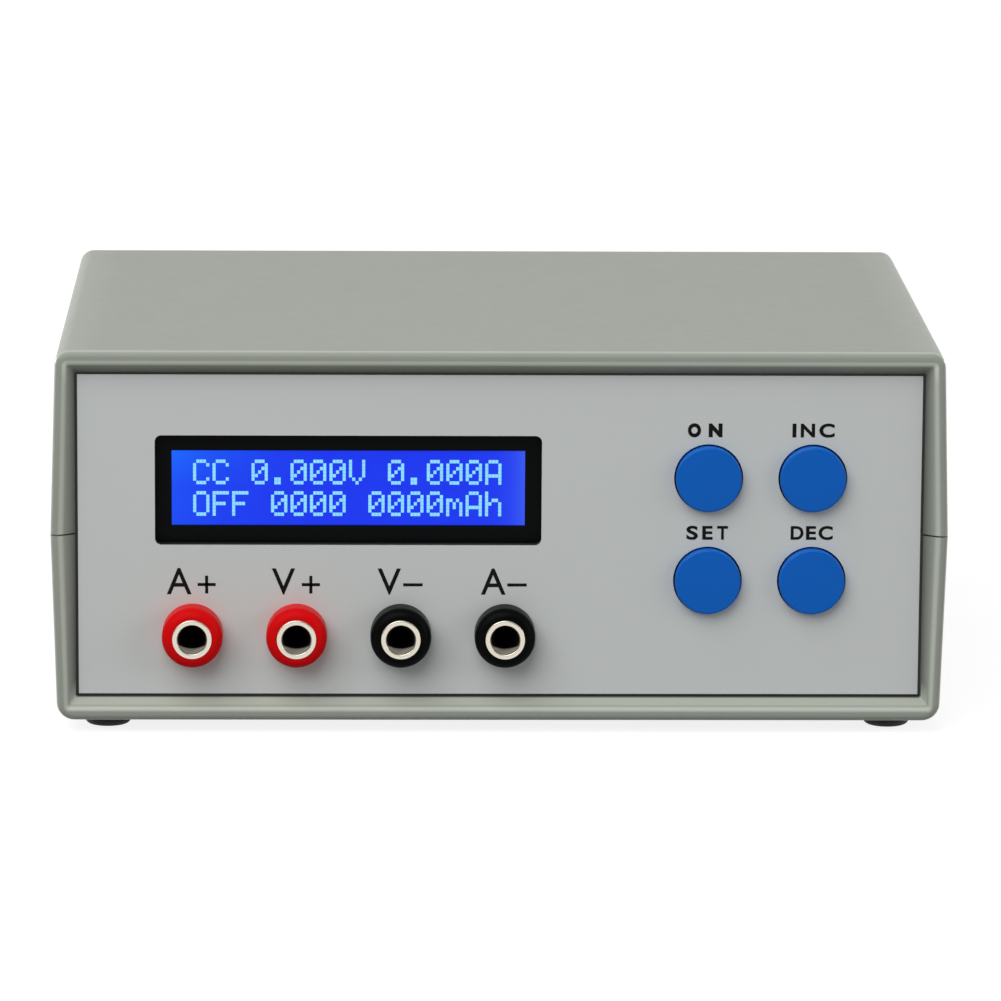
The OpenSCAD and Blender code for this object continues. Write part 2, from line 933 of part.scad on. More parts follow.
module black_jack_insulators() {
    color(BLACK) at_sockets([2, 3]) jack_insulator();
}

module jack_contacts() {
    color(METAL) at_sockets([0 : 3]) translate([0, contact_front - film_face, 0]) difference() {
        union() {
            y_bar(collar_r, collar_t + collar_proud);
            y_bar(contact_r, socket_l + contact_end);
            y_bar(tail_r, socket_l + contact_end + tail_l);
        }
        translate([0, mouth_d, 0]) y_bar(socket_r, socket_l - mouth_d);
        rotate([-90, 0, 0]) cylinder(r1 = mouth_r, r2 = socket_r, h = mouth_d);
    }
}

module jack_nuts() {
    color(METAL) at_sockets([0 : 3]) translate([0, film_t + panel_t, 0]) {
        y_nut(jack_nut_r, jack_nut_t, barrel_r + seat_clear);
    }
}

// Sub-parts: the buttons

module button_cap(key) {
    color(BLUE) at_button(key) translate([0, cap_front, 0]) difference() {
        turned_y() rounded_profile(button_r, button_l, button_round);
        translate([0, cap_roof, 0]) difference() {
            y_bar(button_r - skirt_wall, button_l);
            y_bar(stem_w / sqrt(2) + post_wall, button_l);
        }
        translate([-stem_w / 2 - seat_clear, switch_front - stem_l - cap_front, -stem_w / 2 - seat_clear]) {
            cube([stem_w + 2 * seat_clear, button_l, stem_w + 2 * seat_clear]);
        }
    }
}

module button_plunger(key) {
    color([0.9, 0.9, 0.88]) at_button(key) translate([0, switch_front, 0]) {
        translate([0, -disc_proud, 0]) y_bar(disc_r, disc_proud + disc_t);
        translate([-stem_w / 2, -stem_l, -stem_w / 2]) cube([stem_w, stem_l, stem_w]);
    }
}

module on_button() {
    button_cap(ON);
}

module set_button() {
    button_cap(SET);
}

module inc_button() {
    button_cap(INC);
}

module dec_button() {
    button_cap(DEC);
}

module on_plunger() {
    button_plunger(ON);
}

module set_plunger() {
    button_plunger(SET);
}

module inc_plunger() {
    button_plunger(INC);
}

module dec_plunger() {
    button_plunger(DEC);
}

module key_switches() {
    well_d = disc_t + button_travel + stroke_spare;
    color(BLACK) at_buttons() translate([0, switch_front, 0]) difference() {
        translate([-switch_w / 2, 0, -switch_w / 2]) cube([switch_w, switch_t, switch_w]);
        translate([0, -cut, 0]) y_bar(disc_r + button_clear, well_d + cut);
    }
}

module key_board() {
    color(BOARD) difference() {
        along_y(switch_back, key_back) translate([button_x, button_z]) square(key_w, center = true);
        at_key_holes() y_bar(panel_screw_r + hole_clear, key_back - front_back + cut);
    }
}

// Sub-parts: the main board

module main_board() {
    color(BOARD) difference() {
        translate([-board_w / 2, board_front, board_low]) cube([board_w, board_rear - board_front, board_t]);
        at_board_holes() translate([0, 0, -board_t - cut]) {
            cylinder(r = case_screw_r + hole_clear, h = board_t + 2 * cut);
        }
    }
}

module main_board_screws() {
    color(METAL) at_board_holes() mirror([0, 0, 1]) {
        pan_screw(board_head_r, board_head_h, case_screw_r, board_t + post_h - screw_spare);
    }
}

module heatsink() {
    fin_pitch = (sink_h - fin_t) / (fin_count - 1);
    color([0.7, 0.71, 0.73]) difference() {
        along_y(sink_rear - sink_l, sink_rear) translate([sink_right, board_top]) {
            translate([-sink_base, 0]) square([sink_base, sink_h]);
            for (i = [0 : fin_count - 1]) {
                translate([-sink_w, i * fin_pitch]) square([sink_w, fin_t]);
            }
        }
        at_transistors() translate([-pad_t - sink_base - cut, 0, transistor_hole]) rotate([0, 90, 0]) {
            cylinder(r = case_screw_r + seat_clear, h = sink_base + 2 * cut);
        }
    }
}

// Foot of each power transistor: its back on the pad, its lower end at its legs' top
module at_transistors() {
    for (i = [-1, 1]) {
        translate([sink_right + pad_t, sink_rear - sink_l / 2 + i * (sink_l + transistor_w) / 6,
            board_top + transistor_leg]) children();
    }
}

module power_transistors() {
    color(BLACK) at_transistors() {
        difference() {
            translate([0, -transistor_w / 2, 0]) cube([transistor_t, transistor_w, transistor_h]);
            translate([-cut, 0, transistor_hole]) rotate([0, 90, 0]) {
                cylinder(r = case_screw_r + hole_clear, h = transistor_t + 2 * cut);
            }
        }
        for (i = [-1 : 1]) {
            translate([transistor_t / 2 - leg_t / 2, i * leg_pitch - leg_w / 2, -transistor_leg]) {
                cube([leg_t, leg_w, transistor_leg]);
            }
        }
    }
}

module thermal_pads() {
    color([0.8, 0.75, 0.7]) at_transistors() difference() {
        translate([-pad_t, -transistor_w / 2, 0]) cube([pad_t, transistor_w, transistor_h]);
        translate([-pad_t - cut, 0, transistor_hole]) rotate([0, 90, 0]) {
            cylinder(r = case_screw_r + hole_clear, h = pad_t + 2 * cut);
        }
    }
}

module transistor_screws() {
    color(METAL) at_transistors() translate([transistor_t, 0, transistor_hole]) rotate([0, -90, 0]) {
        pan_screw(board_head_r, board_head_h, case_screw_r, transistor_t + pad_t + sink_base - screw_spare);
    }
}

module shunt_resistor() {
    rod_r = 1;
    bow_r = 6;
    leg_l = 3;
    shunt_side = 20;
    shunt_inset = 8;
    place = [sink_right + shunt_side, sink_rear - shunt_inset, board_top + leg_l];
    color([0.72, 0.45, 0.2]) translate(place) {
        rotate([90, 0, 90]) rotate_extrude(angle = 180) translate([bow_r, 0]) circle(r = rod_r);
        for (sy = [-1, 1]) {
            translate([0, sy * bow_r, -leg_l]) cylinder(r = rod_r, h = leg_l);
        }
    }
}

// A can that stands on the board, its upper edge rounded
module capacitor(x, r, h) {
    translate([x, y_mid + can_y, board_top + h]) rotate_extrude() {
        mirror([0, 1]) rounded_profile(r, h, can_round);
    }
}

module capacitors() {
    color([0.12, 0.13, 0.2]) {
        for (i = [0 : 1]) {
            capacitor(can_x + i * can_pitch, can_r, can_h);
        }
        capacitor(small_can_x, small_can_r, small_can_h);
    }
}

// A flat package on the board
module chip(x, y, w, d) {
    translate([x - w / 2, y_mid + y - d / 2, board_top]) cube([w, d, chip_h]);
}

module control_chips() {
    color(BLACK) {
        chip(processor_x, chip_y, processor_w, processor_w);
        chip(driver_x, chip_y, driver_w, amplifier_d);
        for (i = [0 : 1]) {
            chip(amplifier_x, chip_y + i * amplifier_pitch, amplifier_w, amplifier_d);
        }
    }
}

// A plug block on the main board whose top meets a lead
module plug(x, y, w) {
    translate([x - w / 2, y - header_d / 2, board_top]) cube([w, header_d, header_h]);
}

module board_connectors() {
    color([0.9, 0.89, 0.84]) {
        plug(display_ribbon_x, display_ribbon_y, display_ribbon_w + 2 * plug_margin);
        plug(key_ribbon_x, key_ribbon_y, key_ribbon_w + 2 * plug_margin);
        for (x = [fan_lead_x, inlet_x, data_x]) {
            plug(x, rear_landing, plug_w);
        }
    }
}

// Sub-parts: the rear sockets

module dc_inlet() {
    color(BLACK) translate([inlet_x, rear_face, rear_socket_z]) mirror([0, 1, 0]) difference() {
        union() {
            translate([0, -inlet_flange_t, 0]) turned_y() {
                rounded_profile(inlet_flange_r, inlet_flange_t, inlet_round);
            }
            y_bar(inlet_barrel_r, inlet_d + inlet_back - inlet_flange_t);
        }
        translate([0, -inlet_flange_t - cut, 0]) y_bar(inlet_r, inlet_d + cut);
        y_bar(inlet_shank_r + seat_clear, inlet_d + inlet_back);
    }
}

module dc_inlet_pin() {
    color(METAL) translate([inlet_x, inlet_end, rear_socket_z]) {
        y_bar(inlet_shank_r, inlet_back + cut);
        translate([0, inlet_back, 0]) y_bar(inlet_pin_r, inlet_d - inlet_pin_short);
    }
}

module dc_inlet_nut() {
    color(METAL) translate([inlet_x, rear_back, rear_socket_z]) mirror([0, 1, 0]) {
        y_nut(inlet_nut_r, inlet_nut_t, inlet_barrel_r + seat_clear);
    }
}

module data_jack() {
    color(BLACK) translate([data_x, rear_face + data_proud, rear_socket_z]) mirror([0, 1, 0]) difference() {
        union() {
            y_bar(data_barrel_r, data_l);
            translate([0, data_proud + panel_t, 0]) {
                y_bar(data_body_r, data_l + data_back - data_proud - panel_t);
            }
        }
        translate([0, -cut, 0]) y_bar(data_r, data_l + cut);
    }
}

module data_jack_nut() {
    color(METAL) translate([data_x, rear_face, rear_socket_z]) difference() {
        y_bar(data_nut_r, data_nut_t);
        translate([0, -cut, 0]) y_bar(data_barrel_r + seat_clear, data_nut_t + 2 * cut);
    }
}

// Sub-parts: the fan

module fan_frame() {
    color([0.07, 0.07, 0.08]) translate([fan_x, fan_front, fan_z]) {
        along_y(0, fan_t) difference() {
            round_rect(fan_w, fan_w, fan_corner_r);
            circle(r = duct_r);
            for (sx = [-1, 1], sz = [-1, 1]) {
                translate([sx * fan_pitch / 2, sz * fan_pitch / 2]) circle(r = fan_screw_r + hole_clear);
            }
        }
        difference() {
            union() {
                translate([0, fan_t - motor_base_t, 0]) y_bar(motor_base_r, motor_base_t);
                for (a = [0 : 90 : 270]) {
                    rotate([0, a + strut_turn, 0]) {
                        translate([motor_base_r - cut, fan_t - motor_base_t, -strut_w / 2]) {
                            cube([duct_r - motor_base_r + 2 * cut, motor_base_t, strut_w]);
                        }
                    }
                }
                translate([0, fan_t - motor_base_t - bearing_l, 0]) y_bar(tube_r, bearing_l + cut);
            }
            translate([0, fan_t - motor_base_t - bearing_l - cut, 0]) {
                y_bar(bearing_r + seat_clear, bearing_l + cut);
            }
        }
    }
}

module fan_bearing() {
    start = fan_front + fan_t - motor_base_t - bearing_l;
    color([0.75, 0.55, 0.3]) translate([fan_x, start, fan_z]) difference() {
        y_bar(bearing_r, bearing_l);
        translate([0, -cut, 0]) y_bar(shaft_r + run_clear, bearing_l + 2 * cut);
    }
}

module fan_stator() {
    start = fan_front + fan_t - motor_base_t - stator_l;
    color([0.72, 0.4, 0.2]) translate([fan_x, start, fan_z]) difference() {
        y_bar(stator_r, stator_l);
        translate([0, -cut, 0]) y_bar(tube_r + seat_clear, stator_l + 2 * cut);
    }
}

module fan_shaft() {
    color(METAL) translate([fan_x, fan_front + fan_gap + hub_face, fan_z]) {
        y_bar(shaft_r, fan_t - motor_base_t - fan_gap - hub_face - cut);
    }
}

// Swept outline of one blade, seen along the axis
module blade_outline() {
    inner = hub_r - hub_wall / 2;
    outer = duct_r - blade_gap;
    steps = 4;
    radii = [for (i = [0 : steps]) inner + (outer - inner) * i / steps];
    lean = [for (i = [0 : steps]) blade_sweep * pow(i / steps, 1.5)];
    near = [for (i = [0 : steps]) [radii[i] * cos(lean[i]), radii[i] * sin(lean[i]) - blade_t / 2]];
    far = [for (i = [steps : -1 : 0]) [radii[i] * cos(lean[i]), radii[i] * sin(lean[i]) + blade_t / 2]];
    polygon(concat(near, far));
}

// One blade, twisted as it runs along the axis
module blade() {
    linear_extrude(blade_l, twist = blade_twist, slices = 6, segments = 10) blade_outline();
}

module fan_impeller() {
    depth = blade_l + 2 * fan_gap;
    color([0.09, 0.09, 0.1]) translate([fan_x, fan_front + fan_gap, fan_z]) {
        difference() {
            union() {
                turned_y() rounded_profile(hub_r, depth, hub_round);
                translate([0, fan_gap, 0]) rotate([-90, 0, 0]) for (i = [0 : blade_count - 1]) {
                    rotate(i * 360 / blade_count) blade();
                }
            }
            translate([0, hub_face, 0]) y_bar(hub_r - hub_wall, depth);
        }
    }
}

module fan_screws() {
    color(METAL) at_fan_holes() translate([0, rear_face + wire_d, 0]) rotate([90, 0, 0]) {
        pan_screw(fan_head_r, fan_head_h, fan_screw_r, wire_d + panel_t + fan_t + fan_nut_t + cut);
    }
}

module fan_nuts() {
    color(METAL) at_fan_holes() translate([0, fan_front - fan_nut_t, 0]) {
        y_nut(fan_nut_r, fan_nut_t, fan_screw_r + seat_clear);
    }
}

module fan_guard() {
    wire_r = wire_d / 2;
    step = (duct_r - wire_d - first_ring_r) / (guard_rings - 1);
    corner = fan_pitch / sqrt(2);
    color(METAL) translate([fan_x, rear_face + wire_r, fan_z]) {
        for (i = [0 : guard_rings - 1]) {
            translate([0, ring_lift, 0]) turned_y() {
                translate([first_ring_r + i * step, 0]) circle(r = wire_r);
            }
        }
        for (a = [45 : 90 : 315]) {
            rotate([0, a, 0]) {
                translate([corner, 0, 0]) turned_y() translate([loop_r, 0]) circle(r = wire_r);
                translate([first_ring_r, 0, 0]) rotate([0, 90, 0]) {
                    cylinder(r = wire_r, h = corner - loop_r - first_ring_r);
                }
            }
        }
    }
}

// Sub-parts: leads

module load_wires() {
    color(RED) at_sockets([0, 3]) translate([0, tail_back - film_face, 0]) {
        lead(load_r, socket_run, socket_bend, 0);
    }
}

module sense_wires() {
    color(RED) at_sockets([1, 2]) translate([0, tail_back - film_face, 0]) {
        lead(sense_r, socket_run, socket_bend, 0);
    }
}

module display_ribbon() {
    run = display_ribbon_y - display_back - ribbon_bend;
    drop = display_ribbon_z - ribbon_bend - board_top - header_h;
    color([0.6, 0.6, 0.62]) translate([display_ribbon_x, display_back, display_ribbon_z]) {
        ribbon(display_ribbon_w, run, drop);
    }
}

module key_ribbon() {
    run = key_ribbon_y - key_back - ribbon_bend;
    drop = button_z - ribbon_bend - board_top - header_h;
    color([0.6, 0.6, 0.62]) translate([key_ribbon_x, key_back, button_z]) ribbon(key_ribbon_w, run, drop);
}

// A thin lead from a place near the rear plate forward to its plug on the main board
module rear_lead(x, y, z) {
    height = z - board_top - header_h;
    bend = min(rear_bend, height);
    run = y - bend - rear_landing;
    color(BLACK) translate([x, y, z]) mirror([0, 1, 0]) lead(thin_r, run, bend, height - bend);
}

module fan_lead() {
    rear_lead(fan_lead_x, fan_front, fan_lead_z);
}

module dc_lead() {
    rear_lead(inlet_x, inlet_end, rear_socket_z);
}

module data_lead() {
    rear_lead(data_x, data_end, rear_socket_z);
}

top_cover();
bottom_cover();
front_panel();
front_film();
rear_panel();
case_screws();
rubber_feet();
display_bezel();
display_glass();
display_backlight();
display_board();
panel_screws();
panel_spacers();
panel_nuts();
red_jack_insulators();
black_jack_insulators();
jack_contacts();
jack_nuts();
on_button();
set_button();
inc_button();
dec_button();
on_plunger();
set_plunger();
inc_plunger();
dec_plunger();
key_switches();
key_board();
main_board();
main_board_screws();
heatsink();
power_transistors();
transistor_screws();
thermal_pads();
shunt_resistor();
capacitors();
control_chips();
board_connectors();
dc_inlet();
dc_inlet_pin();
dc_inlet_nut();
data_jack();
data_jack_nut();
fan_frame();
fan_impeller();
fan_shaft();
fan_bearing();
fan_stator();
fan_screws();
fan_nuts();
fan_guard();
load_wires();
sense_wires();
display_ribbon();
key_ribbon();
fan_lead();
dc_lead();
data_lead();
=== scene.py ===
"""Looks of a bench dc electronic load: mouldings, finishes, lettering and studio around its frame."""

from __future__ import annotations

import json
import logging
import math
from dataclasses import dataclass
from enum import Enum
from functools import cache
from typing import Any, Iterator, Sequence, Union

import bmesh
import bpy
from mathutils import Matrix, Vector


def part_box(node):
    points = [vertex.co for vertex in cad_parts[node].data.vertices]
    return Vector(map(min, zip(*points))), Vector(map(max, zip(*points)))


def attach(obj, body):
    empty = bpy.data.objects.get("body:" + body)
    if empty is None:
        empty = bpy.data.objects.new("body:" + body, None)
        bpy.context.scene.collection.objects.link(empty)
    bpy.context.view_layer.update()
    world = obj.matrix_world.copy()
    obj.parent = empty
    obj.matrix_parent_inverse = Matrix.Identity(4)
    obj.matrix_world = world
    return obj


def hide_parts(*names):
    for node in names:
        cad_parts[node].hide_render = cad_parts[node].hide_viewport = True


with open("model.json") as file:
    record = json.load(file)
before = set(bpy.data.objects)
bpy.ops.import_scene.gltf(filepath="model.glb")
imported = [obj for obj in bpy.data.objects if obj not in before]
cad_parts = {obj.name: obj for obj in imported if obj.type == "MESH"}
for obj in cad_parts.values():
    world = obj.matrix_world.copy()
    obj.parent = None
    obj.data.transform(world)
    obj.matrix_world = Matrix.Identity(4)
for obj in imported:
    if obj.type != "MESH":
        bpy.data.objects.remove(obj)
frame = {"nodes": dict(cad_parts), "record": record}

log = logging.getLogger("dc_load")

MM = 0.001
IMAGE_SIDE = 1001
SENSOR = 36.0
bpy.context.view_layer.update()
MERGE = 1e-6
FOLD = math.radians(32)
FLAT = math.radians(0.2)
TURNS = 96
POST_SIDES = 48
NOISE_MEAN = 0.5

Point2 = tuple[float, float]
Point3 = tuple[float, float, float]
Colour = tuple[float, float, float, float]
Value = Union[float, "Wire"]

WHITE: Colour = (1.0, 1.0, 1.0, 1.0)


class Body(Enum):
    """Bodies of the frame."""

    CASE = "case"
    ON = "on_key"
    SET = "set_key"
    INC = "inc_key"
    DEC = "dec_key"
    ROTOR = "fan_rotor"


class Way(Enum):
    """Ways to combine a tool with a piece."""

    JOIN = "UNION"
    CUT = "DIFFERENCE"


class Slot(Enum):
    """Material slots of the record."""

    CASE = "case_plastic"
    PLATE = "plate_black"
    FILM = "film_silver"
    FOOT = "foot_rubber"
    STEEL = "steel"
    BEZEL = "bezel_black"
    DISPLAY = "display_blue"
    DIFFUSER = "diffuser_white"
    BOARD = "circuit_board"
    SPACER = "spacer_nylon"
    SOCKET_RED = "socket_red"
    SOCKET_BLACK = "socket_black"
    CONTACT = "contact_nickel"
    BUTTON = "button_blue"
    PLUNGER = "plunger_white"
    MOULDED = "moulded_black"
    SINK = "sink_aluminium"
    CHIP = "chip_black"
    PAD = "pad_grey"
    COPPER = "copper"
    SLEEVE = "capacitor_sleeve"
    CONNECTOR = "connector_cream"
    FAN = "fan_black"
    BEARING = "bearing_bronze"
    WIRE_RED = "wire_red"
    WIRE_BLACK = "wire_black"
    RIBBON = "ribbon_grey"


def srgb(red: int, green: int, blue: int) -> Colour:
    """Linear colour of three display values.

    Args:
        red, green, blue: Display values from 0 to 255.

    Returns:
        The linear colour with full alpha.
    """

    def line(value: int) -> float:
        """One display value made linear."""
        share = value / 255
        return share / 12.92 if share <= 0.04045 else ((share + 0.055) / 1.055) ** 2.4

    return line(red), line(green), line(blue), 1.0


class Wire:
    """A socket that can stand in a Python expression."""

    def __init__(self, tree: Tree, socket: bpy.types.NodeSocket) -> None:
        """Keep the socket and the tree that it lies in."""
        self.tree = tree
        self.socket = socket

    def math(self, operation: str, first: Value, second: Value = 0.0) -> Wire:
        """Add one Math node.

        Args:
            operation: Its operation.
            first, second: What feeds it.

        Returns:
            The node's result.
        """
        made = self.tree.node("ShaderNodeMath", {"operation": operation}, {0: first, 1: second})
        return self.tree.wire(made)

    def __add__(self, other: Value) -> Wire:
        """Sum."""
        return self.math("ADD", self, other)

    def __radd__(self, other: float) -> Wire:
        """Sum with a number in front."""
        return self.math("ADD", other, self)

    def __sub__(self, other: Value) -> Wire:
        """Difference."""
        return self.math("SUBTRACT", self, other)

    def __rsub__(self, other: float) -> Wire:
        """Difference from a number."""
        return self.math("SUBTRACT", other, self)

    def __mul__(self, other: Value) -> Wire:
        """Product."""
        return self.math("MULTIPLY", self, other)

    def __rmul__(self, other: float) -> Wire:
        """Product with a number in front."""
        return self.math("MULTIPLY", other, self)

    def __truediv__(self, other: Value) -> Wire:
        """Quotient."""
        return self.math("DIVIDE", self, other)

    def __rtruediv__(self, other: float) -> Wire:
        """Number divided by this."""
        return self.math("DIVIDE", other, self)

    def __pow__(self, other: float) -> Wire:
        """Power."""
        return self.math("POWER", self, other)

    def at_least(self, floor: Value) -> Wire:
        """The larger of this and a floor."""
        return self.math("MAXIMUM", self, floor)

    def at_most(self, ceiling: Value) -> Wire:
        """The smaller of this and a ceiling."""
        return self.math("MINIMUM", self, ceiling)

    def share(self) -> Wire:
        """This, held between 0 and 1."""
        return self.at_least(0.0).at_most(1.0)


class Tree:
    """A node tree under construction."""

    def __init__(self, tree: bpy.types.NodeTree) -> None:
        """Keep the tree."""
        self.tree = tree

    def node(
        self, kind: str, settings: dict[str, Any] | None = None, sockets: dict[Any, Any] | None = None
    ) -> bpy.types.Node:
        """Add one node.

        Args:
            kind: The node's type.
            settings: Properties, set first.
            sockets: Numbers, colours, vectors or wires, by input name or number.

        Returns:
            The new node.
        """
        made = self.tree.nodes.new(kind)
        for name, value in (settings or {}).items():
            setattr(made, name, value)
        for name, value in (sockets or {}).items():
            self.feed(made, name, value)
        return made

    def feed(self, node: bpy.types.Node, name: Any, value: Any) -> None:
        """Set an input, or link a wire to it."""
        if isinstance(value, Wire):
            self.tree.links.new(value.socket, node.inputs[name])
        else:
            node.inputs[name].default_value = value

    def wire(self, node: bpy.types.Node, output: Any = 0) -> Wire:
        """Wrap one output of a node."""
        return Wire(self, node.outputs[output])


class Paint(Tree):
    """The nodes of one material, ending in a Principled shader."""

    def __init__(self, name: str) -> None:
        """Make the material."""
        self.material = bpy.data.materials.new(name)
        self.material.use_nodes = True
        super().__init__(self.material.node_tree)
        self.shader = self.tree.nodes["Principled BSDF"]
        self.place = self.wire(self.node("ShaderNodeTexCoord"), "Object")

    def set(self, **inputs: Any) -> None:
        """Set or link the shader's inputs, with an underscore for each blank in a name."""
        for name, value in inputs.items():
            self.feed(self.shader, name.replace("_", " "), value)

    def noise(self, size: float, detail: float = 2.0, stretch: Sequence[float] = (1, 1, 1)) -> Wire:
        """Soft random pattern.

        Args:
            size: Width of one blot, in metres.
            detail: Finer layers on top.
            stretch: How much finer the pattern is along X, Y and Z.

        Returns:
            A value from 0 to 1.
        """
        factors = {0: self.place, 1: tuple(stretch)}
        place = self.node("ShaderNodeVectorMath", {"operation": "MULTIPLY"}, factors)
        sockets = {"Vector": self.wire(place), "Scale": 1 / size, "Detail": detail}
        return self.wire(self.node("ShaderNodeTexNoise", {}, sockets), "Fac")

    def axes(self) -> tuple[Wire, Wire, Wire]:
        """The three Object coordinates."""
        made = self.node("ShaderNodeSeparateXYZ", {}, {0: self.place})
        return self.wire(made, 0), self.wire(made, 1), self.wire(made, 2)

    def attribute(self, name: str) -> Wire:
        """A value kept on the mesh itself."""
        return self.wire(self.node("ShaderNodeAttribute", {"attribute_name": name}), "Fac")

    def linked(self, name: str) -> Wire:
        """What feeds one of the shader's inputs."""
        return Wire(self, self.shader.inputs[name].links[0].from_socket)

    def shaded(self, colour: Colour | Wire, shade: Wire) -> Wire:
        """A colour times a value.

        Args:
            colour: A fixed colour, or one that changes over the surface.
            shade: The value.

        Returns:
            The shaded colour.
        """
        first = colour if isinstance(colour, Wire) else colour[:3]
        made = self.node("ShaderNodeVectorMath", {"operation": "SCALE"}, {0: first, "Scale": shade})
        return self.wire(made)

    def mixed(self, share: Value, first: Any, second: Any) -> Wire:
        """Two colours mixed by a share of the second."""
        made = self.node("ShaderNodeMix", {"data_type": "RGBA"}, {0: share, 6: first, 7: second})
        return self.wire(made, 2)

    def bump(self, height: Wire, depth: float) -> None:
        """Raise the surface by a pattern.

        Args:
            height: The pattern, from 0 to 1.
            depth: Height of its peaks, in metres.
        """
        made = self.node("ShaderNodeBump", {}, {"Height": height, "Distance": depth, "Strength": 1.0})
        self.set(Normal=self.wire(made))


class Finish:
    """What every finish can do."""

    def paint(self) -> Paint:
        """The finish's nodes."""
        raise NotImplementedError


@cache
def material_of(finish: Finish) -> bpy.types.Material:
    """A finish's material, made once."""
    return finish.paint().material


@dataclass(frozen=True)
class Moulding(Finish):
    """Moulded plastic or rubber with a fine grain and faint clouds of colour."""

    name: str
    colour: Colour
    roughness: float = 0.5
    grain: float = 0.45 * MM
    depth: float = 0.004 * MM
    clouds: float = 18 * MM
    mottle: float = 0.05
    scuff: float = 0.12
    specular: float = 0.5
    cloud_detail: float = 4.0
    scuffs_per_cloud: float = 6.0
    scuff_detail: float = 5.0

    def paint(self) -> Paint:
        """Grain in the bump, clouds in the colour, scuffs in the gloss."""
        paint = Paint(self.name)
        grain = paint.noise(self.grain)
        cloud = paint.noise(self.clouds, self.cloud_detail)
        scuff = paint.noise(self.clouds / self.scuffs_per_cloud, self.scuff_detail)
        shade = 1 + (cloud - NOISE_MEAN) * self.mottle + (grain - NOISE_MEAN) * self.mottle
        paint.set(Base_Color=paint.shaded(self.colour, shade))
        paint.set(Roughness=self.roughness + (scuff - NOISE_MEAN) * self.scuff)
        paint.set(Specular_IOR_Level=self.specular)
        paint.bump(grain, self.depth)
        return paint


@dataclass(frozen=True)
class CasePlastic(Moulding):
    """The case's moulding, glossier along its edges with a painted highlight there, and with painted shade
    in the recess round a panel.
    """

    # Strength of the painted edge highlight, strength of the painted recess shade, and how much glossier the
    # edges are.
    highlight_gain: float = 0.6
    dirt: float = 0.72
    gloss: float = 0.12

    def paint(self) -> Paint:
        """Painted edge highlight and painted recess shade from the shells' own attributes, over the grain.
        """
        paint = super().paint()
        # Painted highlight along the edges lightens the colour and lowers the roughness; painted shade in
        # the recess darkens the colour.
        wear = paint.attribute("wear")
        shade = (1 + wear * self.highlight_gain) * (1 - paint.attribute("dirt") * self.dirt)
        paint.set(Base_Color=paint.shaded(paint.linked("Base Color"), shade))
        paint.set(Roughness=paint.linked("Roughness") - wear * self.gloss)
        return paint


@dataclass(frozen=True)
class PlatedMetal(Finish):
    """Plated or bare metal with fine drawing lines."""

    name: str
    colour: Colour
    roughness: float = 0.25
    lines: float = 0.08 * MM
    stretch: Point3 = (1.0, 1.0, 1.0)
    wear: float = 0.2
    depth: float = 0.0006 * MM
    line_detail: float = 3.0
    lines_per_stain: float = 40.0
    stain_detail: float = 4.0

    def paint(self) -> Paint:
        """Lines in the gloss and the bump, stains in the colour."""
        paint = Paint(self.name)
        line = paint.noise(self.lines, self.line_detail, self.stretch)
        stain = paint.noise(self.lines_per_stain * self.lines, self.stain_detail)
        paint.set(Base_Color=paint.shaded(self.colour, 1 + (stain - NOISE_MEAN) * self.wear))
        paint.set(Metallic=1.0, Roughness=self.roughness + (line - NOISE_MEAN) * self.wear)
        paint.bump(line, self.depth)
        return paint


@dataclass(frozen=True)
class SocketMetal(Finish):
    """Plated metal of the socket contacts, dull in their bores and with painted shade there."""

    name: str = "socket_nickel"
    colour: Colour = (0.7, 0.65, 0.55, 1.0)
    # Colour of the painted shade in the bores, where it starts and fades, and how far down the lit crescent
    # at each mouth's foot reaches.
    bore_shade_colour: Colour = (0.012, 0.011, 0.01, 1.0)
    start: float = 0.25 * MM
    end: float = 19 * MM
    fade: float = 0.5 * MM
    radius: float = 2.72 * MM
    lit_crescent_depth: float = 2.3 * MM
    lit_crescent_gain: float = 2.2
    lit_crescent_start: float = 0.9
    roughness: float = 0.2
    mouth_roughness: float = 0.4
    mouth_fade: float = 0.3 * MM
    mouth_start: float = 0.5
    lines: float = 0.15 * MM
    line_detail: float = 3.0
    line_gloss: float = 0.08
    line_depth: float = 0.0005 * MM

    def paint(self) -> Paint:
        """Painted shade behind the contacts' face up to the bores' end, starting deeper along the foot of
        each mouth, which keeps a lit crescent.
        """
        paint = Paint(self.name)
        low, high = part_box("jack_contacts")
        _, y, z = paint.axes()
        depth = y - low.y
        drop = ((low.z + high.z) / 2 - z) / self.radius
        # Painted shade inside the bores: it starts just behind the face at the top and sides, and deeper
        # along the bottom, leaving a lit crescent there.
        foot = (drop * self.lit_crescent_gain - self.lit_crescent_start).share()
        bore_shade = ((depth - self.start - foot * self.lit_crescent_depth) / self.fade).share()
        bore_shade = bore_shade * depth.math("LESS_THAN", depth, self.end)
        paint.set(Base_Color=paint.mixed(bore_shade, self.colour, self.bore_shade_colour), Metallic=1.0)
        mouth = (depth / self.mouth_fade - self.mouth_start).share()
        lines = paint.noise(self.lines, self.line_detail)
        gloss = (lines - NOISE_MEAN) * self.line_gloss
        paint.set(Roughness=self.roughness + mouth * self.mouth_roughness + gloss)
        paint.bump(lines, self.line_depth)
        return paint


